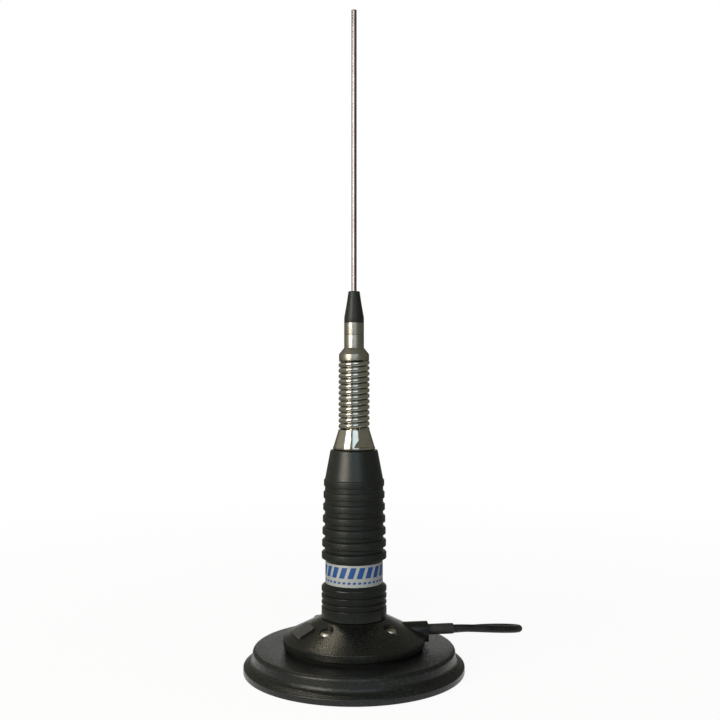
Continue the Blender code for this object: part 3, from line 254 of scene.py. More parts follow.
def grained_black(name, colour, tip_colour, grain_size, depth, roughness, tip_roughness, edge_colour=None,
                  specular=0.3):
    """Black plastic or powder coat with a pebbled grain whose tips are paler and glossier."""
    material, tree, shader = finish(name, roughness, Specular_IOR_Level=specular)
    height, fleck, cloud = effect(tree, moulded_grain, {"Grain Size": grain_size})
    shade = mixed(tree, maths(tree, "MULTIPLY", fleck, 0.8), colour, tip_colour)
    if edge_colour is not None:
        shade = mixed(tree, effect(tree, edge_wear)["Edge"], shade, edge_colour)
    depth_of_black = spread(tree, cloud, 0.0, 1.0, 0.85, 1.15)
    feed(tree, shader, {
        "Base Color": add(tree, "ShaderNodeHueSaturation", {"Color": shade, "Value": depth_of_black}).outputs[0],
        "Roughness": spread(tree, fleck, 0.0, 1.0, roughness, tip_roughness),
        "Normal": bumped(tree, height, 0.7, depth)})
    return material


powder_coat = grained_black("powder_coat", (0.0042, 0.0057, 0.0053), (0.027, 0.030, 0.028), 0.00070, 0.00014,
                            0.33, 0.19, edge_colour=(0.045, 0.045, 0.042), specular=0.35)
BASE_RADIUS = 0.0725
SHOULDER_RADIUS = 0.0663
BASE_TOP = 0.0154
RECESS_RADIUS = 0.0456
RECESS_FLOOR = 0.0143
SHELL_INSIDE = 0.0121
LIP_LOW = 0.0004
LIP_TOP = 0.0044
PAD_TOP = 0.0015
PAD_RADIUS = 0.0700
SOCKET_HOLE_RADIUS = 0.0081
add_piece("pressed_shell", turned([
    (SOCKET_HOLE_RADIUS, RECESS_FLOOR),
    (RECESS_RADIUS, RECESS_FLOOR),
    (RECESS_RADIUS, BASE_TOP, 0.0003),
    (SHOULDER_RADIUS, BASE_TOP, 0.0024),
    (SHOULDER_RADIUS + 0.0004, LIP_TOP + 0.0027, 0.0040),
    (BASE_RADIUS, LIP_TOP, 0.0010),
    (BASE_RADIUS, LIP_LOW, 0.0003),
    (PAD_RADIUS + 0.0006, LIP_LOW),
    (PAD_RADIUS + 0.0006, PAD_TOP + 0.0003),
    (SHOULDER_RADIUS - 0.0018, PAD_TOP + 0.0003),
    (SHOULDER_RADIUS - 0.0022, SHELL_INSIDE),
    (SOCKET_HOLE_RADIUS, SHELL_INSIDE),
], 200), powder_coat, "mount", "grained_black_coat", "base_shell")


# Magnet, pole plate and rubber pad under the shell
# A ferrite ring and a zinc-plated plate carry the pull; the thin ribbed rubber pad protects the paint.
# The ring is glued to the plate, and the pad is glued to the ring.

def dot(tree, way, direction):
    return add(tree, "ShaderNodeVectorMath", {0: way, 1: direction}, operation="DOT_PRODUCT").outputs[1]


def fine_lines(tree, along, detail):
    """Noise that changes along one line only."""
    return add(tree, "ShaderNodeTexNoise", {"W": along, "Scale": 1.0, "Detail": detail},
               noise_dimensions="1D").outputs[0]


def make_metal_group():
    """Turning marks: fine rings along a turned piece's axis, for a bump, and smears for its gloss."""
    tree, given, result = effect_group("turning_marks", {"Ring Pitch": 0.00025, "Axis X": 0.0, "Axis Y": 0.0,
                                                         "Axis Z": 1.0}, ("Height", "Smear"))
    place = object_place(tree)
    axis = add(tree, "ShaderNodeCombineXYZ", {0: given["Axis X"], 1: given["Axis Y"], 2: given["Axis Z"]})
    along = maths(tree, "DIVIDE", dot(tree, place, axis.outputs[0]), given["Ring Pitch"])
    feed(tree, result, {"Height": fine_lines(tree, along, 3.0),
                        "Smear": spread(tree, noise(tree, place, 260.0, 5.0), 0.35, 0.7)})
    return tree


turning_marks = make_metal_group()


def turned_metal(name, colour, dull_colour, roughness, dull_roughness, ring_depth, axis=(0.0, 0.0, 1.0),
                 tint=(0.45, 0.42, 0.34)):
    """Plated or bare metal with turning marks and faint smears."""
    material, tree, shader = finish(name, roughness, 1.0, Specular_Tint=(*tint, 1.0))
    height, smear = effect(tree, turning_marks, {"Axis X": axis[0], "Axis Y": axis[1], "Axis Z": axis[2]})
    feed(tree, shader, {"Base Color": mixed(tree, smear, colour, dull_colour),
                        "Roughness": spread(tree, smear, 0.0, 1.0, roughness, dull_roughness),
                        "Normal": bumped(tree, height, 0.5, ring_depth)})
    return material


pad_rubber = grained_black("pad_rubber", (0.016, 0.016, 0.017), (0.03, 0.03, 0.03), 0.0004, 0.00006, 0.8, 0.7)
pad_outline = [(0.0, PAD_TOP), (PAD_RADIUS, PAD_TOP, 0.0002), (PAD_RADIUS, 0.0, 0.0003)]
for groove in range(9):
    middle = 0.0660 - 0.0060 * groove
    pad_outline += [(middle + 0.0007, 0.0), (middle + 0.0003, 0.0004), (middle - 0.0003, 0.0004),
                    (middle - 0.0007, 0.0)]
add_piece("roof_pad", turned(pad_outline + [(0.0, 0.0)]), pad_rubber, "mount", "pad_rubber", "base_pad")
finish_node("magnet_ring", grained_black("sintered_ferrite", (0.03, 0.03, 0.032), (0.06, 0.06, 0.062),
                                         0.0003, 0.00003, 0.6, 0.45))
finish_node("pole_plate", turned_metal("zinc_plate", (0.55, 0.55, 0.52), (0.42, 0.42, 0.40), 0.35, 0.5, 0.00002))


# Sealing ring
# A black rubber ring lies in the gap between the shell and the cover and shows as a dark band.
# The cover's four screws press it down on the shell.

gasket_rubber = grained_black("gasket_rubber", (0.004, 0.004, 0.004), (0.010, 0.010, 0.010), 0.0004, 0.00004,
                              0.8, 0.7, specular=0.12)
GASKET_INNER = 0.0405
GASKET_OUTER = 0.0450
GASKET_LOW = RECESS_FLOOR + 0.0003
GASKET_TOP = 0.0176
add_piece("sealing_ring", turned([
    (GASKET_INNER, GASKET_TOP), (GASKET_OUTER, GASKET_TOP, 0.0002), (GASKET_OUTER, GASKET_LOW, 0.0002),
    (GASKET_INNER, GASKET_LOW)]), gasket_rubber, "mount", "gasket_rubber", "cover_gasket")


# Moulded cover
# One black moulding: a cone with a rim, a round-topped outlet for the lead and a bare pad for a nameplate.
# Four wells let its screws reach the base, and its surface has a fine spark-eroded grain.

def evaluated_mesh(thing):
    """A plain mesh of what an object's modifiers make."""
    bpy.context.view_layer.update()
    return bpy.data.meshes.new_from_object(thing.evaluated_get(bpy.context.evaluated_depsgraph_get()))


def resolid(*meshes, crease=32.0):
    """One smooth mesh out of plain ones."""
    shell = bmesh.new()
    for mesh in meshes:
        shell.from_mesh(mesh)
    return solid_mesh(shell, None, crease)


def carved(mesh, *steps, crease=32.0):
    """A mesh with others cut from it, or joined to it where they come as ("UNION", mesh), in order."""
    base = linked("uncarved", mesh)
    tools = []
    for step in steps:
        operation, other = step if isinstance(step, tuple) else ("DIFFERENCE", step)
        tools.append(linked("tool", other))
        step = base.modifiers.new(operation, "BOOLEAN")
        step.operation = operation
        step.solver = "EXACT"
        step.object = tools[-1]
    result = evaluated_mesh(base)
    for thing in (base, *tools):
        bpy.data.objects.remove(thing, do_unlink=True)
    return resolid(result, crease=crease)


def prism(outline, low, high, matrix=None, corner=0.0, segments=3):
    """A flat outline raised from low to high, its edges rounded, then put in place."""
    shell = bmesh.new()
    bottom, top = [[shell.verts.new((x, y, height)) for x, y in outline] for height in (low, high)]
    shell.faces.new(bottom)
    shell.faces.new(top)
    skin(shell, [bottom, top], False)
    bmesh.ops.recalc_face_normals(shell, faces=shell.faces)
    if corner > 0:
        edges = [edge for edge in shell.edges if edge.calc_face_angle(0.0) > math.radians(50)]
        bmesh.ops.bevel(shell, geom=edges, offset=corner, segments=segments, affect="EDGES", profile=0.5,
                        clamp_overlap=True)
    return solid_mesh(shell, matrix)


def bar(radius, high, low, sides, place):
    """A plain round bar along a place's own Z."""
    return turned([(0.0, high), (radius, high), (radius, low), (0.0, low)], sides, place)


def round_corners(width, height, radius, steps=6):
    """A rectangle about the origin with round corners."""
    points = []
    for sign_x, sign_y, start in ((1, 1, 0), (-1, 1, 90), (-1, -1, 180), (1, -1, 270)):
        for step in range(steps + 1):
            angle = math.radians(start + 90 * step / steps)
            points.append((sign_x * (width / 2 - radius) + radius * math.cos(angle),
                           sign_y * (height / 2 - radius) + radius * math.sin(angle)))
    return points


def turned_about(axis, degrees):
    return Matrix.Rotation(math.radians(degrees), 4, axis)


def along_x(height):
    """Turns a piece's own Z to +X at a height above the floor."""
    return Matrix.Translation((0, 0, height)) @ turned_about("Y", 90)


COVER_RADIUS = 0.0465
COVER_LOW = GASKET_TOP
COVER_RIM = 0.0223
COVER_TOP = 0.0350
COVER_TOP_RADIUS = 0.0220
COVER_WALL = 0.0025
OUTLET_HEIGHT = 0.0245
OUTLET_RADIUS = 0.0056
OUTLET_REACH = 0.0492
SCREW_CIRCLE = 0.0290
SCREW_SEAT = 0.02717
BOSS_RADIUS = 0.0062
WELL_RADIUS = 0.0045
SHANK_HOLE_RADIUS = 0.0022
BOOT_HOLE_RADIUS = 0.0038
NAMEPLATE_WIDTH = 0.0125
NAMEPLATE_LENGTH = 0.0165
NAMEPLATE_RADIUS = 0.0348
cone_slope = math.atan2(COVER_TOP - COVER_RIM, COVER_RADIUS - COVER_TOP_RADIUS)
inner_rim = COVER_RADIUS - COVER_WALL
cover_mesh = turned([
    (SOCKET_HOLE_RADIUS, COVER_TOP),
    (COVER_TOP_RADIUS, COVER_TOP, 0.0008),
    (COVER_RADIUS, COVER_RIM, 0.0007),
    (COVER_RADIUS, COVER_LOW, 0.0004),
    (inner_rim, COVER_LOW),
    (inner_rim, COVER_RIM - 0.0011),
    (COVER_TOP_RADIUS - 0.0013, COVER_TOP - COVER_WALL),
    (SOCKET_HOLE_RADIUS, COVER_TOP - COVER_WALL),
], 192)
outlet_outline = [(-OUTLET_RADIUS, COVER_LOW - OUTLET_HEIGHT), (OUTLET_RADIUS, COVER_LOW - OUTLET_HEIGHT)]
outlet_outline += [(OUTLET_RADIUS * math.cos(math.radians(angle)), OUTLET_RADIUS * math.sin(math.radians(angle)))
                   for angle in range(0, 181, 10)]
outlet_place = Matrix(((0, 0, 1, 0), (1, 0, 0, 0), (0, 1, 0, OUTLET_HEIGHT), (0, 0, 0, 1)))
outlet_mesh = prism(outlet_outline, COVER_TOP_RADIUS, OUTLET_REACH, outlet_place, 0.0005)
cone_height = COVER_TOP - (NAMEPLATE_RADIUS - COVER_TOP_RADIUS) * math.tan(cone_slope)
nameplate_place = (turned_about("Z", 191.0) @ Matrix.Translation((NAMEPLATE_RADIUS, 0, cone_height))
                   @ Matrix.Rotation(cone_slope, 4, "Y"))
nameplate_mesh = prism(round_corners(NAMEPLATE_WIDTH, NAMEPLATE_LENGTH, 0.0016), -COVER_WALL / 2, 0.0011,
                       nameplate_place, 0.0003)
cover_steps = [("UNION", outlet_mesh), ("UNION", nameplate_mesh)]
for screw in range(4):
    angle = math.radians(45 + 90 * screw)
    place = Matrix.Translation((SCREW_CIRCLE * math.cos(angle), SCREW_CIRCLE * math.sin(angle), 0))
    cover_steps += [("UNION", bar(BOSS_RADIUS, SCREW_SEAT + 0.0011, GASKET_LOW, 48, place)),
                    bar(WELL_RADIUS, 0.0400, SCREW_SEAT, 64, place),
                    bar(SHANK_HOLE_RADIUS, 0.0300, 0.0140, 24, place)]
cover_steps.append(bar(BOOT_HOLE_RADIUS, 0.0510, 0.0380, 48, along_x(OUTLET_HEIGHT)))
cover_plastic = grained_black("cover_plastic", (0.0030, 0.0038, 0.0033), (0.019, 0.019, 0.014), 0.00062,
                              0.00008, 0.31, 0.21, edge_colour=(0.028, 0.030, 0.027), specular=0.42)
plate_plastic = grained_black("plate_plastic", (0.050, 0.051, 0.051), (0.062, 0.063, 0.062), 0.0005, 0.00003,
                              0.40, 0.36, edge_colour=(0.06, 0.06, 0.058))
cover = add_piece("cone_cover", carved(cover_mesh, *cover_steps), cover_plastic, "mount", "grained_black_plastic",
                  "mount_cover")
cover.data.materials.append(plate_plastic)
to_nameplate = nameplate_place.inverted()
for face in cover.data.polygons:
    x, y, z = to_nameplate @ face.center
    if abs(x) < NAMEPLATE_WIDTH / 2 + 0.00025 and abs(y) < NAMEPLATE_LENGTH / 2 + 0.00025 and z > 0.0002:
        face.material_index = 1


# Cover screws
# Four bright zinc-plated pan heads with a cross recess sit at the bottom of the cover's wells.
# They clamp the cover, the sealing ring, the shell and the plate together.

def geometry_tree(name, inputs):
    """A Geometry Nodes tree with named inputs and one geometry in and out."""
    tree = bpy.data.node_groups.new(name, "GeometryNodeTree")
    tree.interface.new_socket(name="Geometry", in_out="INPUT", socket_type="NodeSocketGeometry")
    for label, kind in inputs.items():
        tree.interface.new_socket(name=label, in_out="INPUT", socket_type="NodeSocket" + kind)
    tree.interface.new_socket(name="Geometry", in_out="OUTPUT", socket_type="NodeSocketGeometry")
    return tree, add(tree, "NodeGroupInput").outputs, add(tree, "NodeGroupOutput")


def upright(tree, height):
    """A direction straight up, or a turn about it."""
    return add(tree, "ShaderNodeCombineXYZ", {2: height}).outputs[0]


def copies(tree, points, pattern, **how):
    """A pattern object's mesh on each point, turned or scaled."""
    shape = add(tree, "GeometryNodeObjectInfo", {"Object": pattern}).outputs["Geometry"]
    return add(tree, "GeometryNodeInstanceOnPoints", {"Points": points, "Instance": shape, **how}).outputs[0]


def close_tree(tree, geometry, material, result):
    """Ends a tree in real geometry with its material."""
    real = add(tree, "GeometryNodeRealizeInstances", {"Geometry": geometry}).outputs[0]
    painted = add(tree, "GeometryNodeSetMaterial", {"Geometry": real, "Material": material}).outputs[0]
    tree.links.new(painted, result.inputs[0])


def grown(tree, values, mesh=None):
    """The plain mesh that a tree makes from its named values."""
    host = linked(tree.name, mesh or bpy.data.meshes.new(tree.name))
    step = host.modifiers.new(tree.name, "NODES")
    step.node_group = tree
    for socket in tree.interface.items_tree:
        if socket.in_out == "INPUT" and socket.name in values:
            step[socket.identifier] = values[socket.name]
    result = evaluated_mesh(host)
    host.modifiers.remove(step)
    bpy.data.objects.remove(host, do_unlink=True)
    return resolid(result)


def repeated(tree, label, pattern_mesh, values, mesh=None):
    """The plain mesh of a tree that copies a pattern, which goes in its input of that label."""
    pattern = linked(label, pattern_mesh)
    result = grown(tree, {**values, label: pattern}, mesh)
    bpy.data.objects.remove(pattern, do_unlink=True)
    return result


def make_screw_tree():
    tree, given, result = geometry_tree("screws_round_a_circle", {
        "Screw": "Object", "Count": "Int", "Circle Radius": "Float", "First Angle": "Float",
        "First Turn": "Float", "Turn Step": "Float", "Material": "Material"})
    circle = add(tree, "GeometryNodeMeshCircle", {"Vertices": given["Count"], "Radius": given["Circle Radius"]})
    placed = add(tree, "GeometryNodeTransform", {"Geometry": circle.outputs[0],
                                                 "Rotation": upright(tree, given["First Angle"])})
    index = add(tree, "GeometryNodeInputIndex").outputs[0]
    turn = maths(tree, "ADD", maths(tree, "MULTIPLY", index, given["Turn Step"]), given["First Turn"])
    screws = copies(tree, placed.outputs[0], given["Screw"], Rotation=upright(tree, turn))
    close_tree(tree, screws, given["Material"], result)
    return tree


screw_metal = turned_metal("bright_zinc", (0.62, 0.60, 0.53), (0.46, 0.44, 0.38), 0.32, 0.42, 0.00001)
SHANK_RADIUS = 0.0019
SHANK_END = 0.0101
HEAD_LOW = SCREW_SEAT + 0.0003
HEAD_TOP = HEAD_LOW + 0.0034
screw_mesh = turned([
    (0.0, HEAD_TOP), (0.0034, HEAD_TOP, 0.0012), (0.0042, HEAD_LOW + 0.0020, 0.0006), (0.0041, HEAD_LOW),
    (SHANK_RADIUS, HEAD_LOW), (SHANK_RADIUS, SHANK_END), (0.0, SHANK_END)], 48)
recess_arms = [prism(round_corners(0.0034, 0.0007, 0.00012, 2), -0.0012, 0.0010,
                     Matrix.Translation((0, 0, HEAD_TOP)) @ turned_about("Z", turn)) for turn in (0.0, 90.0)]
screws_mesh = repeated(make_screw_tree(), "Screw", carved(screw_mesh, *recess_arms), {
    "Count": 4, "Circle Radius": SCREW_CIRCLE, "First Angle": math.radians(45.0),
    "First Turn": math.radians(20.0), "Turn Step": math.radians(37.0), "Material": screw_metal})
add_piece("cover_screws", screws_mesh, screw_metal, "mount", "bright_zinc", "cover_screw_1", "cover_screw_2",
          "cover_screw_3", "cover_screw_4")


# Boot at the cable outlet
# A soft rubber sleeve grips the lead where it leaves the cover and takes the strain of its bends.
# Its inner flange sits behind the outlet's wall.

boot_rubber = grained_black("boot_rubber", (0.022, 0.023, 0.023), (0.035, 0.036, 0.036), 0.0003, 0.00003,
                            0.62, 0.52)
BOOT_BORE = 0.0028
BOOT_START = 0.0457
BOOT_END = 0.0667
add_piece("outlet_boot", turned([
    (BOOT_BORE, BOOT_END), (0.0034, BOOT_END, 0.0003), (0.0035, BOOT_END - 0.0020), (0.0035, 0.0477),
    (0.0041, 0.0477), (0.0041, BOOT_START), (BOOT_BORE, BOOT_START)], 64, along_x(OUTLET_HEIGHT)),
    boot_rubber, "mount", "boot_rubber", "cable_boot")


# Socket in the middle of the base
# A nickel-plated brass socket with a 24 turns per inch thread, a white insulator and a brass contact.
# Its nut clamps it to the plate, and the antenna's ring screws onto it.

def threaded(radius, depth, pitch, low, high, bore, sides=72, steps=8):
    """A tube whose outside carries a right-handed thread that runs out at both ends."""
    shell = bmesh.new()
    rows = []
    count = math.ceil((high - low) / pitch * steps)
    for row in range(count + 1):
        height = low + (high - low) * row / count
        runout = min(1.0, (height - low) / (pitch * 0.6), (high - height) / (pitch * 0.6))
        ring = []
        for side in range(sides):
            share = side / sides
            wave = abs(((height / pitch - share) % 1.0) * 2 - 1)
            cut = depth * min(1.0, max(0.0, wave * 1.25 - 0.1)) * runout
            reach = radius - cut - depth * 0.6 * (1 - runout)
            ring.append(shell.verts.new((reach * math.cos(math.tau * share),
                                         reach * math.sin(math.tau * share), height)))
        rows.append(ring)
    rows += [ring_of(shell, bore, height, sides) for height in (high, low)]
    skin(shell, rows, True)
    return solid_mesh(shell, None, 50.0)


socket_nickel = turned_metal("socket_nickel", (0.58, 0.54, 0.45), (0.40, 0.37, 0.30), 0.24, 0.38, 0.00001)
contact_brass = turned_metal("contact_brass", (0.62, 0.44, 0.19), (0.45, 0.31, 0.13), 0.28, 0.42, 0.00001)
insulator_white, tree, shader = finish("insulator_white", 0.45, Specular_IOR_Level=0.5)
milk = noise(tree, object_place(tree), 300.0, 3.0)
feed(tree, shader, {"Base Color": mixed(tree, milk, (0.72, 0.70, 0.63), (0.80, 0.79, 0.73))})
THREAD_PITCH = 0.0254 / 24
THREAD_RADIUS = 0.0078
THREAD_DEPTH = 0.0006
SOCKET_LOW = 0.0051
SOCKET_TOP = 0.0500
SOCKET_BORE = 0.0060
CONTACT_BORE = 0.0040
FLANGE_RADIUS = 0.0130
FLANGE_LOW = 0.0146
FLANGE_TOP = 0.01705
socket_tube = threaded(THREAD_RADIUS, THREAD_DEPTH, THREAD_PITCH, FLANGE_TOP - 0.00005, SOCKET_TOP, SOCKET_BORE)
socket_flange = turned([
    (CONTACT_BORE, FLANGE_TOP), (FLANGE_RADIUS, FLANGE_TOP, 0.0003), (FLANGE_RADIUS, FLANGE_LOW),
    (THREAD_RADIUS, FLANGE_LOW), (THREAD_RADIUS, SOCKET_LOW), (CONTACT_BORE, SOCKET_LOW)], 96)
add_piece("threaded_socket", resolid(socket_tube, socket_flange, crease=50.0), socket_nickel, "mount",
          "nickel_plated_brass", "socket_shell")
finish_node("socket_insulator", insulator_white)
finish_node("socket_contact", contact_brass)
finish_node("socket_nut", socket_nickel)


# Grip ring
# A satin black ring with three shallow grooves is turned by hand to screw the antenna down.
# Its brass thread is pressed in, and it bears on the flange of the antenna's foot.

ring_plastic = grained_black("ring_plastic", (0.0070, 0.0092, 0.0082), (0.013, 0.0155, 0.0142), 0.00030, 0.00003,
                             0.27, 0.23, edge_colour=(0.050, 0.050, 0.045), specular=0.4)
GRIP_RADIUS = 0.0214
GRIP_LOW = 0.0353
GRIP_TOP = 0.0576
GRIP_INSIDE = 0.0120
GRIP_CEILING = 0.0528
FOOT_HOLE_RADIUS = 0.0069
GROOVE_FLOOR = GRIP_RADIUS - 0.0011
grip_outline = [(FOOT_HOLE_RADIUS, GRIP_TOP), (GRIP_RADIUS - 0.0024, GRIP_TOP, 0.0004),
                (GRIP_RADIUS, GRIP_TOP - 0.0020, 0.0008)]
for drop in (0.0059, 0.0105, 0.0142):
    middle = GRIP_TOP - drop
    grip_outline += [(GRIP_RADIUS, middle + 0.0012, 0.00015), (GROOVE_FLOOR, middle + 0.0009),
                     (GROOVE_FLOOR, middle - 0.0006), (GRIP_RADIUS, middle - 0.0012, 0.00030)]
grip_outline += [(GRIP_RADIUS, GRIP_LOW, 0.0003), (GRIP_INSIDE, GRIP_LOW), (GRIP_INSIDE, GRIP_CEILING),
                 (FOOT_HOLE_RADIUS, GRIP_CEILING)]
add_piece("coupling_ring", turned(grip_outline), ring_plastic, "grip", "satin_black_plastic", "grip_ring")
finish_node("grip_insert", contact_brass)


# Foot of the antenna
# A nickel-plated foot carries the coil's former; its white bush holds the contact pin.
# All three sit inside the grip ring and the housing.

foot_nickel = turned_metal("foot_nickel", (0.58, 0.54, 0.45), (0.42, 0.39, 0.32), 0.28, 0.40, 0.00001)
finish_node("antenna_foot", foot_nickel)
finish_node("contact_bush", insulator_white)
finish_node("contact_pin", contact_brass)


# Coil housing
# A matt black sleeve moulded in one piece: a smooth cone above seven grooved ribs and a plain neck.
# It slides over the coil and is held between the foot and the chrome fitting.

def make_rib_tree():
    tree, given, result = geometry_tree("ribs_up_a_sleeve", {
        "Rib": "Object", "Count": "Int", "Pitch": "Float", "Radius": "Float", "Taper": "Float",
        "Material": "Material"})
    heights = add(tree, "GeometryNodeMeshLine", {"Count": given["Count"], "Offset": upright(tree, given["Pitch"])})
    index = add(tree, "GeometryNodeInputIndex").outputs[0]
    share = maths(tree, "DIVIDE", maths(tree, "MULTIPLY", index, given["Taper"]), given["Radius"])
    width = maths(tree, "SUBTRACT", 1.0, share)
    scale = add(tree, "ShaderNodeCombineXYZ", {0: width, 1: width, 2: 1.0}).outputs[0]
    ribs = copies(tree, heights.outputs[0], given["Rib"], Scale=scale)
    joined = add(tree, "GeometryNodeMeshBoolean", operation="UNION", solver="EXACT")
    feed(tree, joined, {"Mesh 2": given["Geometry"]})
    feed(tree, joined, {"Mesh 2": add(tree, "GeometryNodeRealizeInstances", {"Geometry": ribs}).outputs[0]})
    close_tree(tree, joined.outputs["Mesh"], given["Material"], result)
    return tree


housing_plastic = grained_black("housing_plastic", (0.0070, 0.0095, 0.0085), (0.015, 0.019, 0.017), 0.00040,
                                0.00005, 0.38, 0.32, edge_colour=(0.035, 0.036, 0.032), specular=0.42)
NECK_RADIUS = 0.01830
NECK_TOP = 0.0723
SLEEVE_INSIDE = 0.01505
CONE_FOOT_RADIUS = 0.0189
GROOVE_RADIUS = 0.0192
RIB_RADIUS = 0.0213
RIB_ROOT_RADIUS = 0.0175
RIB_LOW = 0.0736
RIB_TOP = RIB_LOW + 0.0049
HOUSING_LOW = 0.0579
CONE_LOW = 0.12678
HOUSING_TOP = 0.14478
STUD_HOLE_RADIUS = 0.0053
sleeve_mesh = turned([
    (STUD_HOLE_RADIUS, HOUSING_TOP), (0.0155, HOUSING_TOP, 0.0008), (CONE_FOOT_RADIUS, CONE_LOW),
    (GROOVE_RADIUS, CONE_LOW - 0.0010), (GROOVE_RADIUS, NECK_TOP + 0.0007), (CONE_FOOT_RADIUS, NECK_TOP),
    (NECK_RADIUS, NECK_TOP), (NECK_RADIUS, HOUSING_LOW), (FOOT_HOLE_RADIUS, HOUSING_LOW),
    (FOOT_HOLE_RADIUS, 0.0617), (SLEEVE_INSIDE, 0.0617), (SLEEVE_INSIDE, CONE_LOW),
    (0.0123, HOUSING_TOP - 0.0030), (STUD_HOLE_RADIUS, HOUSING_TOP - 0.0030)])
rib_mesh = turned([
    (RIB_ROOT_RADIUS, RIB_TOP + 0.0012), (GROOVE_RADIUS - 0.0003, RIB_TOP + 0.0009),
    (RIB_RADIUS - 0.0007, RIB_TOP, 0.0003), (RIB_RADIUS, RIB_TOP - 0.0007, 0.0005),
    (RIB_RADIUS, RIB_LOW + 0.0005, 0.0004), (GROOVE_RADIUS - 0.0003, RIB_LOW - 0.0004),
    (RIB_ROOT_RADIUS, RIB_LOW - 0.0006)])
housing_mesh = repeated(make_rib_tree(), "Rib", rib_mesh, {
    "Count": 7, "Pitch": 0.00788, "Radius": RIB_RADIUS, "Taper": 0.00024, "Material": housing_plastic},
    sleeve_mesh)
add_piece("ribbed_housing", housing_mesh, housing_plastic, "antenna", "matt_black_plastic", "coil_housing")


# Label band
# Brushed silver foil is wrapped round the housing's neck and printed in blue.
# Its print here is a plain motif of slanted bars over a dashed line.

LABEL_RADIUS = 0.01865
LABEL_LOW = HOUSING_LOW
LABEL_TOP = 0.0720
FRONT_TURN = math.radians(8.3)


def make_label():
    material, tree, shader = finish("printed_foil", 0.42, 0.25, Specular_IOR_Level=0.5)
    # Turned so that the motif's middle faces the front
    facing = add(tree, "ShaderNodeMapping", {"Vector": object_place(tree), "Rotation": (0, 0, FRONT_TURN)})
    x, y, z = add(tree, "ShaderNodeSeparateXYZ", {0: facing.outputs[0]}).outputs
    angle = maths(tree, "ARCTAN2", x, maths(tree, "MULTIPLY", y, -1.0))
    around = maths(tree, "MULTIPLY", angle, LABEL_RADIUS)

    def between(value, low, high, soft=0.00008):
        rise = spread(tree, value, low - soft, low + soft)
        fall = spread(tree, value, high - soft, high + soft, 1.0, 0.0)
        return maths(tree, "MULTIPLY", rise, fall)

    def row(pitch, low, high, bottom, top):
        """A row of slanted marks of one width, repeated round the label."""
        mark = between(maths(tree, "PINGPONG", maths(tree, "ADD", lean, 1.0), pitch), low, high)
        return maths(tree, "MULTIPLY", mark, between(z, bottom, top))

    lean = maths(tree, "SUBTRACT", around, maths(tree, "MULTIPLY", z, 0.32))
    bars = row(0.0029, 0.00105, 0.0040, 0.0636, 0.0706)
    dashes = row(0.0017, 0.0007, 0.0030, 0.0600, 0.0614)
    half_round = LABEL_RADIUS * math.pi
    span = between(maths(tree, "PINGPONG", maths(tree, "ADD", around, half_round), half_round), 0.0045, 0.0600)
    ink = maths(tree, "MULTIPLY", maths(tree, "ADD", bars, dashes, clamp=True), span)
    brushing = fine_lines(tree, maths(tree, "MULTIPLY", z, 9000.0), 2.0)
    foil = mixed(tree, brushing, (0.34, 0.36, 0.355), (0.43, 0.45, 0.445))
    feed(tree, shader, {"Base Color": mixed(tree, ink, foil, (0.003, 0.055, 0.225)),
                        "Roughness": spread(tree, ink, 0.0, 1.0, 0.42, 0.5),
                        "Metallic": spread(tree, ink, 0.0, 1.0, 0.25, 0.0),
                        "Normal": bumped(tree, brushing, 0.2, 0.00001)})
    return material


add_piece("foil_band", turned([
    (0.01860, LABEL_TOP), (0.01890, LABEL_TOP, 0.00008), (0.01890, LABEL_LOW, 0.00008), (0.01860, LABEL_LOW)]),
    make_label(), "antenna", "brushed_silver_foil", "label_band")


# Loading coil and its former
# Enamelled copper wire is wound on a fibre bobbin inside the housing and tunes the short whip.
# The bobbin takes the foot below and the chrome fitting's stud above.

def waves(tree, direction, scale, **more):
    return add(tree, "ShaderNodeTexWave", {"Vector": object_place(tree), "Scale": scale, **more},
               bands_direction=direction).outputs[1]


fibre, tree, shader = finish("wound_fibre", 0.6)
threads = waves(tree, "Z", 260.0, Distortion=2.0, Detail=2.0)
feed(tree, shader, {"Base Color": mixed(tree, threads, (0.42, 0.36, 0.26), (0.56, 0.50, 0.38))})
finish_node("coil_former", fibre)
finish_node("loading_coil", turned_metal("enamelled_copper", (0.55, 0.22, 0.09), (0.42, 0.16, 0.06), 0.22, 0.34,
                                         0.000005))


# Chrome fitting under the spring
# A turned and polished cone with a rounded foot and two milled flats for a wrench.
# Its stud screws into the bobbin, and its spigot holds the spring's lowest turns.

chrome, tree, shader = finish("polished_chrome", 0.11, 1.0, Specular_Tint=(0.42, 0.39, 0.31, 1.0))
hazy = spread(tree, noise(tree, object_place(tree), 180.0, 6.0, Roughness=0.65), 0.45, 0.75)
pits = noise(tree, object_place(tree), 1900.0, 2.0)
feed(tree, shader, {"Base Color": mixed(tree, hazy, (0.60, 0.585, 0.53), (0.50, 0.485, 0.43)),
                    "Roughness": spread(tree, hazy, 0.0, 1.0, 0.11, 0.20),
                    "Normal": bumped(tree, pits, 0.06, 0.00001)})
SEAT_RADIUS = 0.0139
SEAT_LOW = 0.14508
SEAT_RIM = 0.14668
SEAT_TOP = 0.15820
STUD_RADIUS = 0.0050
STUD_END = 0.1123
SPIGOT_RADIUS = 0.00602
SPIGOT_TIP_RADIUS = 0.00522
SPIGOT_HEIGHT = 0.16408
BRAID_HOLE_RADIUS = 0.0033
BRAID_HOLE_FLOOR = 0.15908
FLAT_DISTANCE = 0.0116
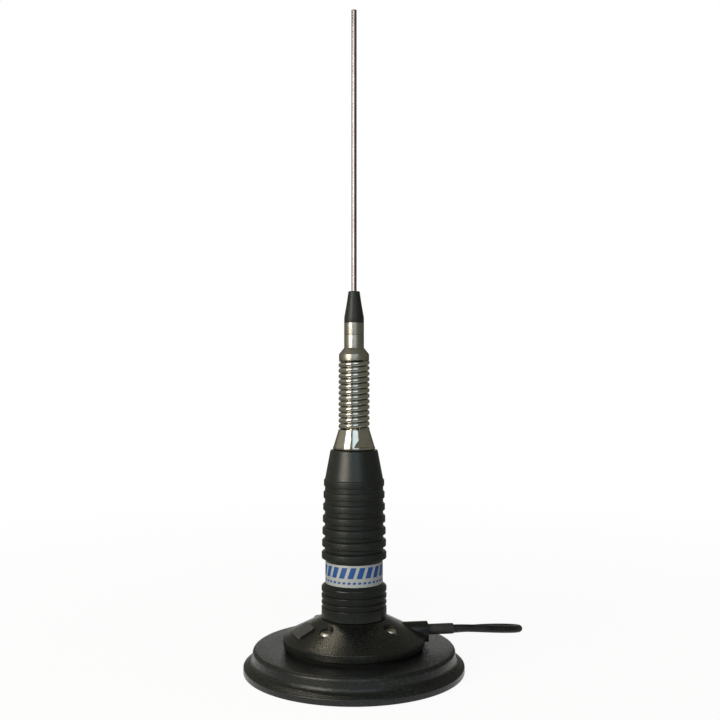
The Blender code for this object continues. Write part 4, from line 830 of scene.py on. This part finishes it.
seat_mesh = turned([
    (0.0, BRAID_HOLE_FLOOR), (BRAID_HOLE_RADIUS, BRAID_HOLE_FLOOR), (BRAID_HOLE_RADIUS, SPIGOT_HEIGHT),
    (SPIGOT_TIP_RADIUS, SPIGOT_HEIGHT), (SPIGOT_RADIUS, SPIGOT_HEIGHT - 0.0008), (SPIGOT_RADIUS, SEAT_TOP),
    (0.0101, SEAT_TOP, 0.0002), (SEAT_RADIUS - 0.0003, SEAT_RIM), (SEAT_RADIUS, SEAT_RIM - 0.0001, 0.0003),
    (SEAT_RADIUS, SEAT_LOW, 0.0007), (STUD_RADIUS, SEAT_LOW), (STUD_RADIUS, STUD_END), (0.0, STUD_END)])
flat_cuts = [prism(round_corners(0.0140, 0.0300, 0.0001, 1), SEAT_RIM + 0.0003, SEAT_TOP + 0.0040,
                   turned_about("Z", turn) @ Matrix.Translation((FLAT_DISTANCE + 0.0070, 0, 0)))
             for turn in (-68.0, 112.0)]
add_piece("wrench_fitting", carved(seat_mesh, *flat_cuts, crease=12.0), chrome, "antenna", "polished_chrome",
          "spring_seat")


# Shock spring
# Nickel-plated spring steel wire, close-wound right-handed, lets the whip lean over when it is hit.
# Its end turns are ground flat and pushed over the spigots; it is built in two halves that meet about its middle.

def make_wire_tree():
    tree, given, result = geometry_tree("coiled_wire", {
        "Coil Radius": "Float", "Wire Radius": "Float", "Pitch": "Float", "Turns": "Float",
        "First Angle": "Float", "First Height": "Float", "Points Per Turn": "Int", "Sides": "Int",
        "Material": "Material"})
    coil = add(tree, "GeometryNodeCurveSpiral", {
        "Resolution": given["Points Per Turn"], "Rotations": given["Turns"], "Start Radius": given["Coil Radius"],
        "End Radius": given["Coil Radius"], "Height": maths(tree, "MULTIPLY", given["Pitch"], given["Turns"]),
        "Reverse": True})
    placed = add(tree, "GeometryNodeTransform", {
        "Geometry": coil.outputs[0], "Translation": upright(tree, given["First Height"]),
        "Rotation": upright(tree, given["First Angle"])})
    section = add(tree, "GeometryNodeCurvePrimitiveCircle", {"Resolution": given["Sides"],
                                                             "Radius": given["Wire Radius"]})
    wire = add(tree, "GeometryNodeCurveToMesh", {"Curve": placed.outputs[0], "Profile Curve": section.outputs[0],
                                                 "Fill Caps": True})
    close_tree(tree, wire.outputs[0], given["Material"], result)
    return tree


spring_steel = turned_metal("nickel_spring_steel", (0.58, 0.575, 0.535), (0.48, 0.475, 0.44), 0.15, 0.22,
                            0.000004, tint=(0.94, 0.94, 0.90))
wire_tree = make_wire_tree()
COIL_RADIUS = 0.0085
WIRE_RADIUS = 0.0018
WIRE_PITCH = 0.00364
LOWER_TURNS = 6.4
UPPER_TURNS = 6.633
MIDDLE_TURN = 5.8
LOWEST_WIRE = 0.15988
GROUND_LOW = SEAT_TOP + 0.00004
GROUND_TOP = 0.20326
LOWER_BEND = ("antenna", "spring", 0.1584, 0.1795)
UPPER_BEND = ("spring", "whip_head", 0.1825, 0.2032)
for name, bend, first_turn, count in (
        ("spring_lower_half", LOWER_BEND, MIDDLE_TURN - LOWER_TURNS, LOWER_TURNS),
        ("spring_upper_half", UPPER_BEND, MIDDLE_TURN, UPPER_TURNS)):
    mesh = grown(wire_tree, {
        "Coil Radius": COIL_RADIUS, "Wire Radius": WIRE_RADIUS, "Pitch": WIRE_PITCH, "Turns": count,
        "First Angle": math.tau * (first_turn - 2 * MIDDLE_TURN),
        "First Height": LOWEST_WIRE + WIRE_PITCH * first_turn,
        "Points Per Turn": 56, "Sides": 24, "Material": spring_steel})
    for vertex in mesh.vertices:
        vertex.co.z = min(GROUND_TOP, max(GROUND_LOW, vertex.co.z))
    smooth_faces(mesh, 40.0)
    add_piece(name, mesh, spring_steel, bend, "nickel_plated_spring_steel", "shock_spring")


# Bonding braid inside the spring
# A tinned copper braid carries the current past the spring, from one fitting to the other.
# It is soldered into both spigots and is built in two halves like the spring.

braid_metal, tree, shader = finish("tinned_braid", 0.45, 1.0)
weave = waves(tree, "DIAGONAL", 420.0, Distortion=3.0)
feed(tree, shader, {"Base Color": mixed(tree, weave, (0.30, 0.29, 0.26), (0.56, 0.55, 0.50)),
                    "Normal": bumped(tree, weave, 0.6, 0.0002)})
BRAID_RADIUS = 0.0030
BRAID_MIDDLE = 0.18100
for name, bend, low, high in (("braid_lower_half", LOWER_BEND, 0.15938, BRAID_MIDDLE),
                              ("braid_upper_half", UPPER_BEND, BRAID_MIDDLE, 0.20260)):
    side = [(BRAID_RADIUS, high + (low - high) * step / 12) for step in range(13)]
    add_piece(name, turned([(0.0, high), *side, (0.0, low)], 32), braid_metal, bend, "tinned_braid",
              "bonding_braid")


# Head above the spring and the whip's holder
# Two turned, satin nickel-plated pieces that meet in a fine groove: the head sits on the spring, and the
# holder screws into it. A blackened grub screw in the holder clamps the whip.

satin_nickel = turned_metal("satin_nickel", (0.44, 0.43, 0.38), (0.36, 0.35, 0.305), 0.31, 0.40, 0.00002)
HEAD_LOW_FACE = GROUND_TOP + 0.00004
HEAD_COLLAR_RADIUS = 0.0099
HEAD_COLLAR_TOP = 0.20740
HEAD_CHAMFER_TOP = 0.21170
HEAD_TOP_FACE = 0.22031
HEAD_BORE = 0.0043
HEAD_BORE_FLOOR = 0.2060
HEAD_SPIGOT_LOW = 0.1979
HOLDER_LOW_FACE = 0.22039
HOLDER_TOP_FACE = 0.22810
HOLDER_SPIGOT_RADIUS = 0.0036
HOLDER_SPIGOT_TOP = 0.2379
HOLDER_STEM_RADIUS = 0.0040
HOLDER_STEM_LOW = 0.2063
FERRULE_RADIUS = 0.0065
WHIP_BORE = 0.0018
CLAMP_HEIGHT = 0.2246
CLAMP_HOLE_RADIUS = 0.0021
GRUB_RADIUS = 0.0018
HEX_RADIUS = 0.0009
add_piece("spring_cap_fitting", turned([
    (0.0, HEAD_BORE_FLOOR), (HEAD_BORE, HEAD_BORE_FLOOR), (HEAD_BORE, HEAD_TOP_FACE),
    (FERRULE_RADIUS, HEAD_TOP_FACE, 0.0002), (FERRULE_RADIUS, HEAD_CHAMFER_TOP),
    (HEAD_COLLAR_RADIUS, HEAD_COLLAR_TOP, 0.00025), (HEAD_COLLAR_RADIUS, HEAD_LOW_FACE, 0.0003),
    (SPIGOT_RADIUS, HEAD_LOW_FACE), (SPIGOT_RADIUS, HEAD_SPIGOT_LOW + 0.0008),
    (SPIGOT_TIP_RADIUS, HEAD_SPIGOT_LOW), (BRAID_HOLE_RADIUS, HEAD_SPIGOT_LOW),
    (BRAID_HOLE_RADIUS, HEAD_SPIGOT_LOW + 0.0050), (0.0, HEAD_SPIGOT_LOW + 0.0050)]),
    satin_nickel, "whip_head", "satin_nickel", "spring_head")
clamp_axis = Matrix.Translation((0, 0, CLAMP_HEIGHT)) @ turned_about("Z", 90) @ turned_about("Y", 90)
holder_mesh = turned([
    (WHIP_BORE, HOLDER_SPIGOT_TOP), (HOLDER_SPIGOT_RADIUS, HOLDER_SPIGOT_TOP),
    (HOLDER_SPIGOT_RADIUS, HOLDER_TOP_FACE), (FERRULE_RADIUS, HOLDER_TOP_FACE),
    (FERRULE_RADIUS, HOLDER_LOW_FACE, 0.0002), (HOLDER_STEM_RADIUS, HOLDER_LOW_FACE),
    (HOLDER_STEM_RADIUS, HOLDER_STEM_LOW), (WHIP_BORE, HOLDER_STEM_LOW)])
clamp_hole = bar(CLAMP_HOLE_RADIUS, 0.0120, 0.0, 40, clamp_axis)
add_piece("whip_clamp", carved(holder_mesh, clamp_hole), satin_nickel, "whip_head", "satin_nickel", "whip_holder")
blackened = turned_metal("blackened_steel", (0.05, 0.05, 0.052), (0.09, 0.085, 0.08), 0.3, 0.45, 0.00001)
grub_mesh = turned([(0.0, 0.0057), (GRUB_RADIUS, 0.0057, 0.0003), (GRUB_RADIUS, 0.0018), (0.0, 0.0018)], 32,
                   clamp_axis)
hexagon = [(HEX_RADIUS * math.cos(math.tau * side / 6), HEX_RADIUS * math.sin(math.tau * side / 6))
           for side in range(6)]
add_piece("grub_screw", carved(grub_mesh, prism(hexagon, 0.0043, 0.0070, clamp_axis)), blackened, "whip_head",
          "blackened_steel", "clamp_screw")


# Cap over the holder
# A slim satin black plastic cap keeps water out of the clamp and tapers up to the whip.
# It is pushed over the holder's spigot.

cap_plastic = grained_black("cap_plastic", (0.014, 0.015, 0.014), (0.022, 0.023, 0.022), 0.00035, 0.00003,
                            0.42, 0.36, edge_colour=(0.040, 0.040, 0.038))
CAP_LOW = HOLDER_TOP_FACE + 0.00004
CAP_TOP = 0.2488
CAP_BORE = 0.0039
CAP_CEILING = HOLDER_SPIGOT_TOP + 0.0003
add_piece("whip_hood", turned([
    (WHIP_BORE, CAP_TOP), (0.0037, CAP_TOP, 0.0006), (0.0047, 0.2418, 0.0080), (FERRULE_RADIUS, 0.2314, 0.0060),
    (FERRULE_RADIUS, CAP_LOW, 0.0002), (CAP_BORE, CAP_LOW), (CAP_BORE, CAP_CEILING),
    (WHIP_BORE, CAP_CEILING)]),
    cap_plastic, "whip_head", "cap_plastic", "whip_cap")


# Whip
# A drawn stainless steel rod, 3.4 mm thick, that slides in its holder for tuning and is cut to length.
# Drawing leaves faint marks along it.

whip_steel, tree, shader = finish("drawn_stainless", 0.20, 1.0, Specular_Tint=(0.35, 0.28, 0.26, 1.0))
stretched = add(tree, "ShaderNodeMapping", {"Vector": object_place(tree), "Scale": (3000.0, 3000.0, 20.0)})
streaks = noise(tree, stretched.outputs[0], 1.0, 1.0)
smear = spread(tree, noise(tree, object_place(tree), 90.0, 4.0), 0.35, 0.7)
feed(tree, shader, {"Base Color": mixed(tree, smear, (0.31, 0.272, 0.280), (0.255, 0.225, 0.228)),
                    "Roughness": spread(tree, streaks, 0.3, 0.7, 0.19, 0.25),
                    "Normal": bumped(tree, streaks, 0.25, 0.000001)})
WHIP_RADIUS = 0.0017
WHIP_LOW = 0.2127
WHIP_TIP = 0.4329
add_piece("steel_whip", turned([(0.0, WHIP_TIP), (WHIP_RADIUS, WHIP_TIP, 0.0002), (WHIP_RADIUS, WHIP_LOW),
                                (0.0, WHIP_LOW)], 48), whip_steel, "whip", "stainless_steel", "whip")


# Lead
# 4 m of 5 mm coaxial cable in a smooth black sheath. It leaves the boot, curls round behind the base and is
# stored there as a tied hank of twelve turns in six layers; its far end comes back over the top to the plug.

FEED_ROUTE = (
    (0.0440, 0.0000, 0.02450), (0.0667, 0.0000, 0.02450), (0.0800, 0.0002, 0.02390),
    (0.0930, 0.0012, 0.02270), (0.1070, 0.0072, 0.02030), (0.1175, 0.0188, 0.01710),
    (0.1200, 0.0325, 0.01400), (0.1140, 0.0455, 0.01120), (0.1020, 0.0550, 0.00890),
    (0.0880, 0.0615, 0.00670), (0.0720, 0.0680, 0.00450), (0.0550, 0.0750, 0.00300),
    (0.0400, 0.0805, 0.00255), (0.0252, 0.0848, 0.00255),
)
# Along the hank's axis from its near fold, across it and up
PLUG_ROUTE = (
    (0.0950, 0.0175, 0.0334), (0.1060, 0.0155, 0.0334), (0.1145, 0.0085, 0.0335),
    (0.1175, -0.0010, 0.0338), (0.1150, -0.0105, 0.0343), (0.1070, -0.0165, 0.0352),
    (0.0960, -0.0170, 0.0364), (0.0860, -0.0125, 0.0378), (0.0760, -0.0060, 0.0391),
    (0.0660, -0.0014, 0.0399), (0.0558, 0.0000, 0.0401), (0.0438, 0.0000, 0.0401),
)
LEAD_RADIUS = 0.0025
HANK_RUN = 0.1000
FOLD_RADIUS = 0.0150
LANE_PITCH = 0.0053
WAIST = 0.0027
FOLD_ARC = math.pi * 0.01765
HANK_LOOP = 2 * (FOLD_ARC + HANK_RUN)
TIE_HALF = 0.0120
FIRST_LAYER = 0.00255
LAYER_PITCH = 0.0051
HANK_MIDDLE = 0.0153
hank_place = Matrix.Translation((0.01478, 0.10722, 0)) @ turned_about("Z", 81.7)


def catmull(route, spacing):
    """Evenly spaced points on a smooth curve through a route's own points."""
    anchors = [Vector(point) for point in route]
    anchors = [2 * anchors[0] - anchors[1]] + anchors + [2 * anchors[-1] - anchors[-2]]
    fine = []
    for before, start, end, after in zip(anchors, anchors[1:], anchors[2:], anchors[3:]):
        for step in range(24):
            t = step / 24
            fine.append(0.5 * (2 * start + (end - before) * t + (2 * before - 5 * start + 4 * end - after) * t ** 2
                               + (3 * start - before - 3 * end + after) * t ** 3))
    fine.append(anchors[-2])
    travelled = [0.0]
    for start, end in zip(fine, fine[1:]):
        travelled.append(travelled[-1] + (end - start).length)
    count = max(2, round(travelled[-1] / spacing))
    points, segment = [], 0
    for index in range(count + 1):
        wanted = travelled[-1] * index / count
        while segment < len(fine) - 2 and travelled[segment + 1] < wanted:
            segment += 1
        share = (wanted - travelled[segment]) / (travelled[segment + 1] - travelled[segment])
        points.append(fine[segment].lerp(fine[segment + 1], share))
    return points


def ease(share):
    share = min(1.0, max(0.0, share))
    return share * share * (3 - 2 * share)


def in_fold(travel):
    return travel < FOLD_ARC or FOLD_ARC + HANK_RUN <= travel < 2 * FOLD_ARC + HANK_RUN


def hank_point(travel, lane, layer):
    """A point of the hank: travel round its loop from the near fold, lane 0 inside to 1 outside, and layer."""
    fold = FOLD_RADIUS + LANE_PITCH * lane
    waist = WAIST + LANE_PITCH * lane
    travel %= HANK_LOOP
    if in_fold(travel):
        far = travel >= FOLD_ARC
        angle = math.pi * ((travel - FOLD_ARC - HANK_RUN) if far else travel) / FOLD_ARC
        along = (HANK_RUN + fold * math.sin(angle)) if far else -fold * math.sin(angle)
        across = fold * math.cos(angle) * (1 if far else -1)
    else:
        back = travel >= 2 * FOLD_ARC + HANK_RUN
        along = (HANK_RUN - (travel - 2 * FOLD_ARC - HANK_RUN)) if back else travel - FOLD_ARC
        share = max(0.0, abs(along - HANK_RUN / 2) - TIE_HALF) / (HANK_RUN / 2 - TIE_HALF)
        across = (waist + (fold - waist) * ease(share)) * (-1 if back else 1)
    height = FIRST_LAYER + LAYER_PITCH * (layer - 1)
    # The tie squeezes the layers together at the middle
    squeeze = 0.095 * (1 - ease((abs(along - HANK_RUN / 2) - 0.009) / 0.034))
    height = HANK_MIDDLE + (height - HANK_MIDDLE) * (1 - squeeze)
    return hank_place @ Vector((along, across, height))


def hank_points():
    """The twelve turns: outer and inner by turns, layer by layer, each change a little before the last."""
    lanes = [(1.0, 1), (0.0, 1), (0.0, 2), (1.0, 2), (1.0, 3), (0.0, 3), (0.0, 4), (1.0, 4), (1.0, 5), (0.0, 5),
             (0.0, 6), (1.0, 6), (1.0, 6.9)]
    window, lead = 0.038, 0.0155
    ends = [HANK_LOOP * turn - lead * (turn - 1) for turn in range(1, len(lanes))]
    travel = FOLD_ARC / 2
    points = []
    while travel < ends[-1] - window * 0.45:
        turn = sum(travel >= end for end in ends)
        share = ease((travel - (ends[turn] - window)) / window)
        lane, layer = [now + (after - now) * share for now, after in zip(lanes[turn], lanes[turn + 1])]
        points.append(hank_point(travel, lane, layer))
        travel += 0.0055 if in_fold(travel % HANK_LOOP) else 0.0085
    return points


def cord_curve(points, radius):
    """A round cord along points, with smooth handles worked out from its neighbours."""
    curve = bpy.data.curves.new("cord", "CURVE")
    curve.dimensions = "3D"
    curve.bevel_depth = radius
    curve.bevel_resolution = 5
    curve.resolution_u = curve.render_resolution_u = 4
    curve.use_fill_caps = True
    spline = curve.splines.new("BEZIER")
    last = len(points) - 1
    spline.bezier_points.add(last)
    for index, (point, place) in enumerate(zip(spline.bezier_points, points)):
        before, after = points[max(0, index - 1)], points[min(last, index + 1)]
        direction = (after - before).normalized()
        point.handle_left_type = point.handle_right_type = "FREE"
        point.co = place
        point.handle_left = place - direction * (place - before).length / 3
        point.handle_right = place + direction * (after - place).length / 3
    return curve


sheath, tree, shader = finish("cable_sheath", 0.42, Specular_IOR_Level=0.3)
height, _, cloud = effect(tree, moulded_grain, {"Grain Size": 0.0004})
feed(tree, shader, {"Base Color": mixed(tree, cloud, (0.006, 0.006, 0.007), (0.012, 0.013, 0.014)),
                    "Roughness": spread(tree, cloud, 0.0, 1.0, 0.36, 0.48),
                    "Normal": bumped(tree, height, 0.25, 0.00002)})
turns = hank_points()
climb_end = [hank_place @ Vector(point) for point in PLUG_ROUTE]
lead_points = catmull(FEED_ROUTE, 0.0095) + turns + catmull([turns[-2], turns[-1], *climb_end], 0.0075)[9:]
lead = add_piece("coaxial_lead", cord_curve(lead_points, LEAD_RADIUS), sheath, "mount", "cable_sheath",
                 "feed_cable", "cable_hank", "plug_lead")


# Tie round the hank
# A woven black nylon strap, 12 mm wide, is wrapped once round the middle of the hank.
# It squeezes the turns together.

strap_nylon, tree, shader = finish("strap_nylon", 0.7, Sheen_Weight=0.2)
weave = maths(tree, "MULTIPLY", waves(tree, "DIAGONAL", 330.0, Distortion=0.6), waves(tree, "Y", 520.0))
feed(tree, shader, {"Base Color": mixed(tree, weave, (0.010, 0.010, 0.011), (0.035, 0.035, 0.037)),
                    "Normal": bumped(tree, weave, 0.6, 0.00015)})
TIE_HEIGHT = 0.0306
TIE_WIDTH = 0.0240
TIE_THICKNESS = 0.0012
strap_place = hank_place @ Matrix.Translation((HANK_RUN / 2, 0, HANK_MIDDLE)) @ turned_about("Y", 90)
strap_outer = prism(round_corners(TIE_HEIGHT, TIE_WIDTH, 0.0022), -TIE_HALF / 2, TIE_HALF / 2, strap_place,
                    0.0003, 2)
strap_inner = prism(round_corners(TIE_HEIGHT - 2 * TIE_THICKNESS, TIE_WIDTH - 2 * TIE_THICKNESS, 0.0012),
                    -0.0100, 0.0100, strap_place)
strap = add_piece("hank_strap", carved(strap_outer, strap_inner), strap_nylon, "mount", "tie_nylon", "hank_tie")


# Plug
# A nickel-plated coaxial plug: a knurled coupling nut on a body with a white insulator and a centre pin,
# and a reducer that fits the body to the thin cable. It lies on the hank, its mouth towards the base.

def make_knurl_tree():
    tree, given, result = geometry_tree("knurl_round_a_nut", {
        "Ridge": "Object", "Count": "Int", "Circle Radius": "Float", "Material": "Material"})
    circle = add(tree, "GeometryNodeMeshCircle", {"Vertices": given["Count"], "Radius": given["Circle Radius"]})
    index = add(tree, "GeometryNodeInputIndex").outputs[0]
    turn = maths(tree, "DIVIDE", maths(tree, "MULTIPLY", index, math.tau), given["Count"])
    whole = add(tree, "GeometryNodeJoinGeometry")
    feed(tree, whole, {0: given["Geometry"]})
    feed(tree, whole, {0: copies(tree, circle.outputs[0], given["Ridge"], Rotation=upright(tree, turn))})
    close_tree(tree, whole.outputs[0], given["Material"], result)
    return tree


plug_place = hank_place @ Matrix.Translation((0.0100, 0, 0.0401)) @ turned_about("Y", 90)
plug_axis = plug_place.to_3x3() @ Vector((0, 0, 1))
plug_nickel = turned_metal("plug_nickel", (0.60, 0.57, 0.50), (0.44, 0.42, 0.36), 0.2, 0.34, 0.00001,
                           axis=tuple(plug_axis))
NUT_RADIUS = 0.0087
NUT_RIM_RADIUS = 0.0091
BODY_RADIUS = 0.0066
ridge_mesh = prism([(-0.00030, -0.00042), (0.00045, 0.0), (-0.00030, 0.00042)], 0.0016, 0.0164)
nut_core = turned([
    (0.0069, 0.0180), (0.0086, 0.0180), (NUT_RIM_RADIUS, 0.0175), (NUT_RIM_RADIUS, 0.0166), (NUT_RADIUS, 0.0163),
    (NUT_RADIUS, 0.0017), (NUT_RIM_RADIUS, 0.0014), (NUT_RIM_RADIUS, 0.0005), (0.0086, 0.0), (0.0081, 0.0),
    (0.0081, 0.0145), (0.0069, 0.0145)], 96)
nut_mesh = repeated(make_knurl_tree(), "Ridge", ridge_mesh, {
    "Count": 52, "Circle Radius": NUT_RADIUS, "Material": plug_nickel}, nut_core)
nut_mesh.transform(plug_place)
nut = add_piece("knurled_nut", nut_mesh, plug_nickel, "plug_nut", "plug_nickel", "plug_coupling_nut")
body = add_piece("plug_barrel", turned([
    (0.0044, 0.0310), (BODY_RADIUS, 0.0310, 0.0004), (BODY_RADIUS, 0.0240), (0.0062, 0.0236), (0.0062, 0.0216),
    (BODY_RADIUS, 0.0212), (BODY_RADIUS, 0.0142), (0.0075, 0.0142, 0.0002), (0.0075, 0.0117, 0.0002),
    (0.0059, 0.0117), (0.0059, 0.0055, 0.0003), (0.0048, 0.0055), (0.0048, 0.0138), (0.0044, 0.0138)], 80,
    plug_place), plug_nickel, "mount", "plug_nickel", "plug_body")
insulator = add_piece("plug_core", turned([
    (0.0023, 0.0135), (0.0045, 0.0135), (0.0045, 0.0058, 0.0003), (0.0023, 0.0058)], 64, plug_place),
    insulator_white, "mount", "white_insulator", "plug_insulator")
pin = add_piece("centre_pin", turned([
    (0.0, 0.0165), (0.0020, 0.0165), (0.0020, 0.0005, 0.0008), (0.0010, -0.0005, 0.0004), (0.0, -0.0005)], 40,
    plug_place), plug_nickel, "mount", "plug_nickel", "plug_pin")
reducer = add_piece("cable_reducer", turned([
    (0.0028, 0.0398), (0.0056, 0.0398, 0.0006), (0.0056, 0.0330), (0.0052, 0.0327), (0.0052, 0.0313),
    (0.0041, 0.0313), (0.0041, 0.0240), (0.0028, 0.0240)], 64, plug_place), plug_nickel, "mount", "plug_nickel",
    "plug_reducer")


# Studio
# A plain pale floor under soft lamps: a warm one in front on the left, a cool window behind the camera and a
# small one high behind on the left. Dim warm walls, which only reflections show, stand round it like a room.

WHITE = (1.0, 1.0, 1.0)
DIM_ROOM = (0.165, 0.160, 0.130)
BACKDROP_WAY = (0.144, 0.990, 0.0)
LEFT_WAY = (-0.990, 0.144, 0.0)


def shown_rays(tree):
    """1 for rays of the camera, of reflections and through glass."""
    rays = add(tree, "ShaderNodeLightPath").outputs
    first = maths(tree, "MAXIMUM", rays["Is Camera Ray"], rays["Is Glossy Ray"])
    return maths(tree, "MAXIMUM", first, rays["Is Transmission Ray"])


def in_reflections(tree, value):
    """A value that holds only in reflections."""
    return maths(tree, "MULTIPLY", value, add(tree, "ShaderNodeLightPath").outputs["Is Glossy Ray"])


floor_white = bpy.data.materials.new("floor_white")
floor_white.use_nodes = True
tree = floor_white.node_tree
tree.nodes.clear()
spot = object_place(tree)
away = add(tree, "ShaderNodeVectorMath", {0: spot}, operation="LENGTH").outputs[1]
spot_way = dot(tree, add(tree, "ShaderNodeVectorMath", {0: spot}, operation="NORMALIZE").outputs[0], BACKDROP_WAY)
# In reflections the floor is white near the object and behind it, and as dim as the room in front of it
far_front = in_reflections(tree, maths(tree, "MULTIPLY", spread(tree, spot_way, 0.99, 0.95),
                                       spread(tree, away, 0.08, 0.16)))
matt = add(tree, "ShaderNodeBsdfDiffuse", {"Color": (0.92, 0.92, 0.92, 1.0)})
glow = add(tree, "ShaderNodeEmission", {"Color": mixed(tree, far_front, WHITE, DIM_ROOM), "Strength": 1.0})
# Further from the object the white takes over, so that the floor's far edge doesn't show
share = maths(tree, "MULTIPLY", shown_rays(tree), spread(tree, away, 0.20, 0.80, 0.93, 1.0))
both = add(tree, "ShaderNodeMixShader", {0: share, 1: matt.outputs[0], 2: glow.outputs[0]})
add(tree, "ShaderNodeOutputMaterial", {"Surface": both.outputs[0]})
floor_mesh = bpy.data.meshes.new("floor")
floor_mesh.from_pydata([(x, y, -0.0002) for x, y in ((-6, -6), (6, -6), (6, 6), (-6, 6))], [], [(0, 1, 2, 3)])
floor_mesh.materials.append(floor_white)
linked("floor", floor_mesh)

world = bpy.data.worlds.new("studio")
scene.world = world
world.use_nodes = True
tree = world.node_tree
tree.nodes.clear()
# Reflections show the white backdrop behind the object, and a dim room in front of it
way = add(tree, "ShaderNodeTexCoord").outputs["Generated"]
walls = mixed(tree, spread(tree, dot(tree, way, LEFT_WAY), 0.35, 0.95), DIM_ROOM, (0.36, 0.345, 0.28))
room = in_reflections(tree, spread(tree, dot(tree, way, BACKDROP_WAY), 0.99, 0.95))
seen = add(tree, "ShaderNodeBackground", {"Color": mixed(tree, room, WHITE, walls), "Strength": 1.0})
ambient = add(tree, "ShaderNodeBackground", {"Color": (1.0, 0.97, 0.92, 1.0), "Strength": 0.30})
sky = add(tree, "ShaderNodeMixShader", {0: shown_rays(tree), 1: ambient.outputs[0], 2: seen.outputs[0]})
add(tree, "ShaderNodeOutputWorld", {"Surface": sky.outputs[0]})

ahead = Vector((math.sin(FRONT_TURN), math.cos(FRONT_TURN), 0))
right = Vector((math.cos(FRONT_TURN), -math.sin(FRONT_TURN), 0))


def lamp(name, side_angle, height, distance, width, tall, power, colour):
    """A soft rectangular lamp, its angle measured from the camera's side towards the right."""
    light = bpy.data.lights.new(name, "AREA")
    light.shape = "RECTANGLE"
    light.size, light.size_y = width, tall
    light.energy = power
    light.color = colour
    angle = math.radians(side_angle)
    place = (-ahead * math.cos(angle) + right * math.sin(angle)) * distance + Vector((0, 0, height))
    thing = linked(name, light)
    thing.location = place
    thing.rotation_euler = (Vector((0, 0, 0.12)) - place).to_track_quat("-Z", "Y").to_euler()


lamp("warm_key", -42, 0.56, 1.30, 0.68, 0.80, 15.5, (1.0, 0.93, 0.80))
lamp("cool_window", 10, 0.90, 1.60, 1.04, 1.70, 8, (0.70, 0.86, 1.0))
lamp("high_back", 216, 1.31, 0.72, 0.14, 0.14, 1.8, (1.0, 0.90, 0.70))

SENSOR = 36
FRAME_PIXELS = 720
FOCAL_PIXELS = 1017
camera_data = bpy.data.cameras.new("camera")
camera_data.lens = SENSOR * FOCAL_PIXELS / FRAME_PIXELS
camera_data.sensor_width = SENSOR
camera_data.sensor_fit = "HORIZONTAL"
camera = linked("camera", camera_data)
camera.location = right * 0.0039 - ahead * 0.668 + Vector((0, 0, 0.209))
camera.rotation_euler = (ahead - Vector((0, 0, 0.0080))).to_track_quat("-Z", "Y").to_euler()
scene.camera = camera
scene.view_settings.view_transform = "Standard"
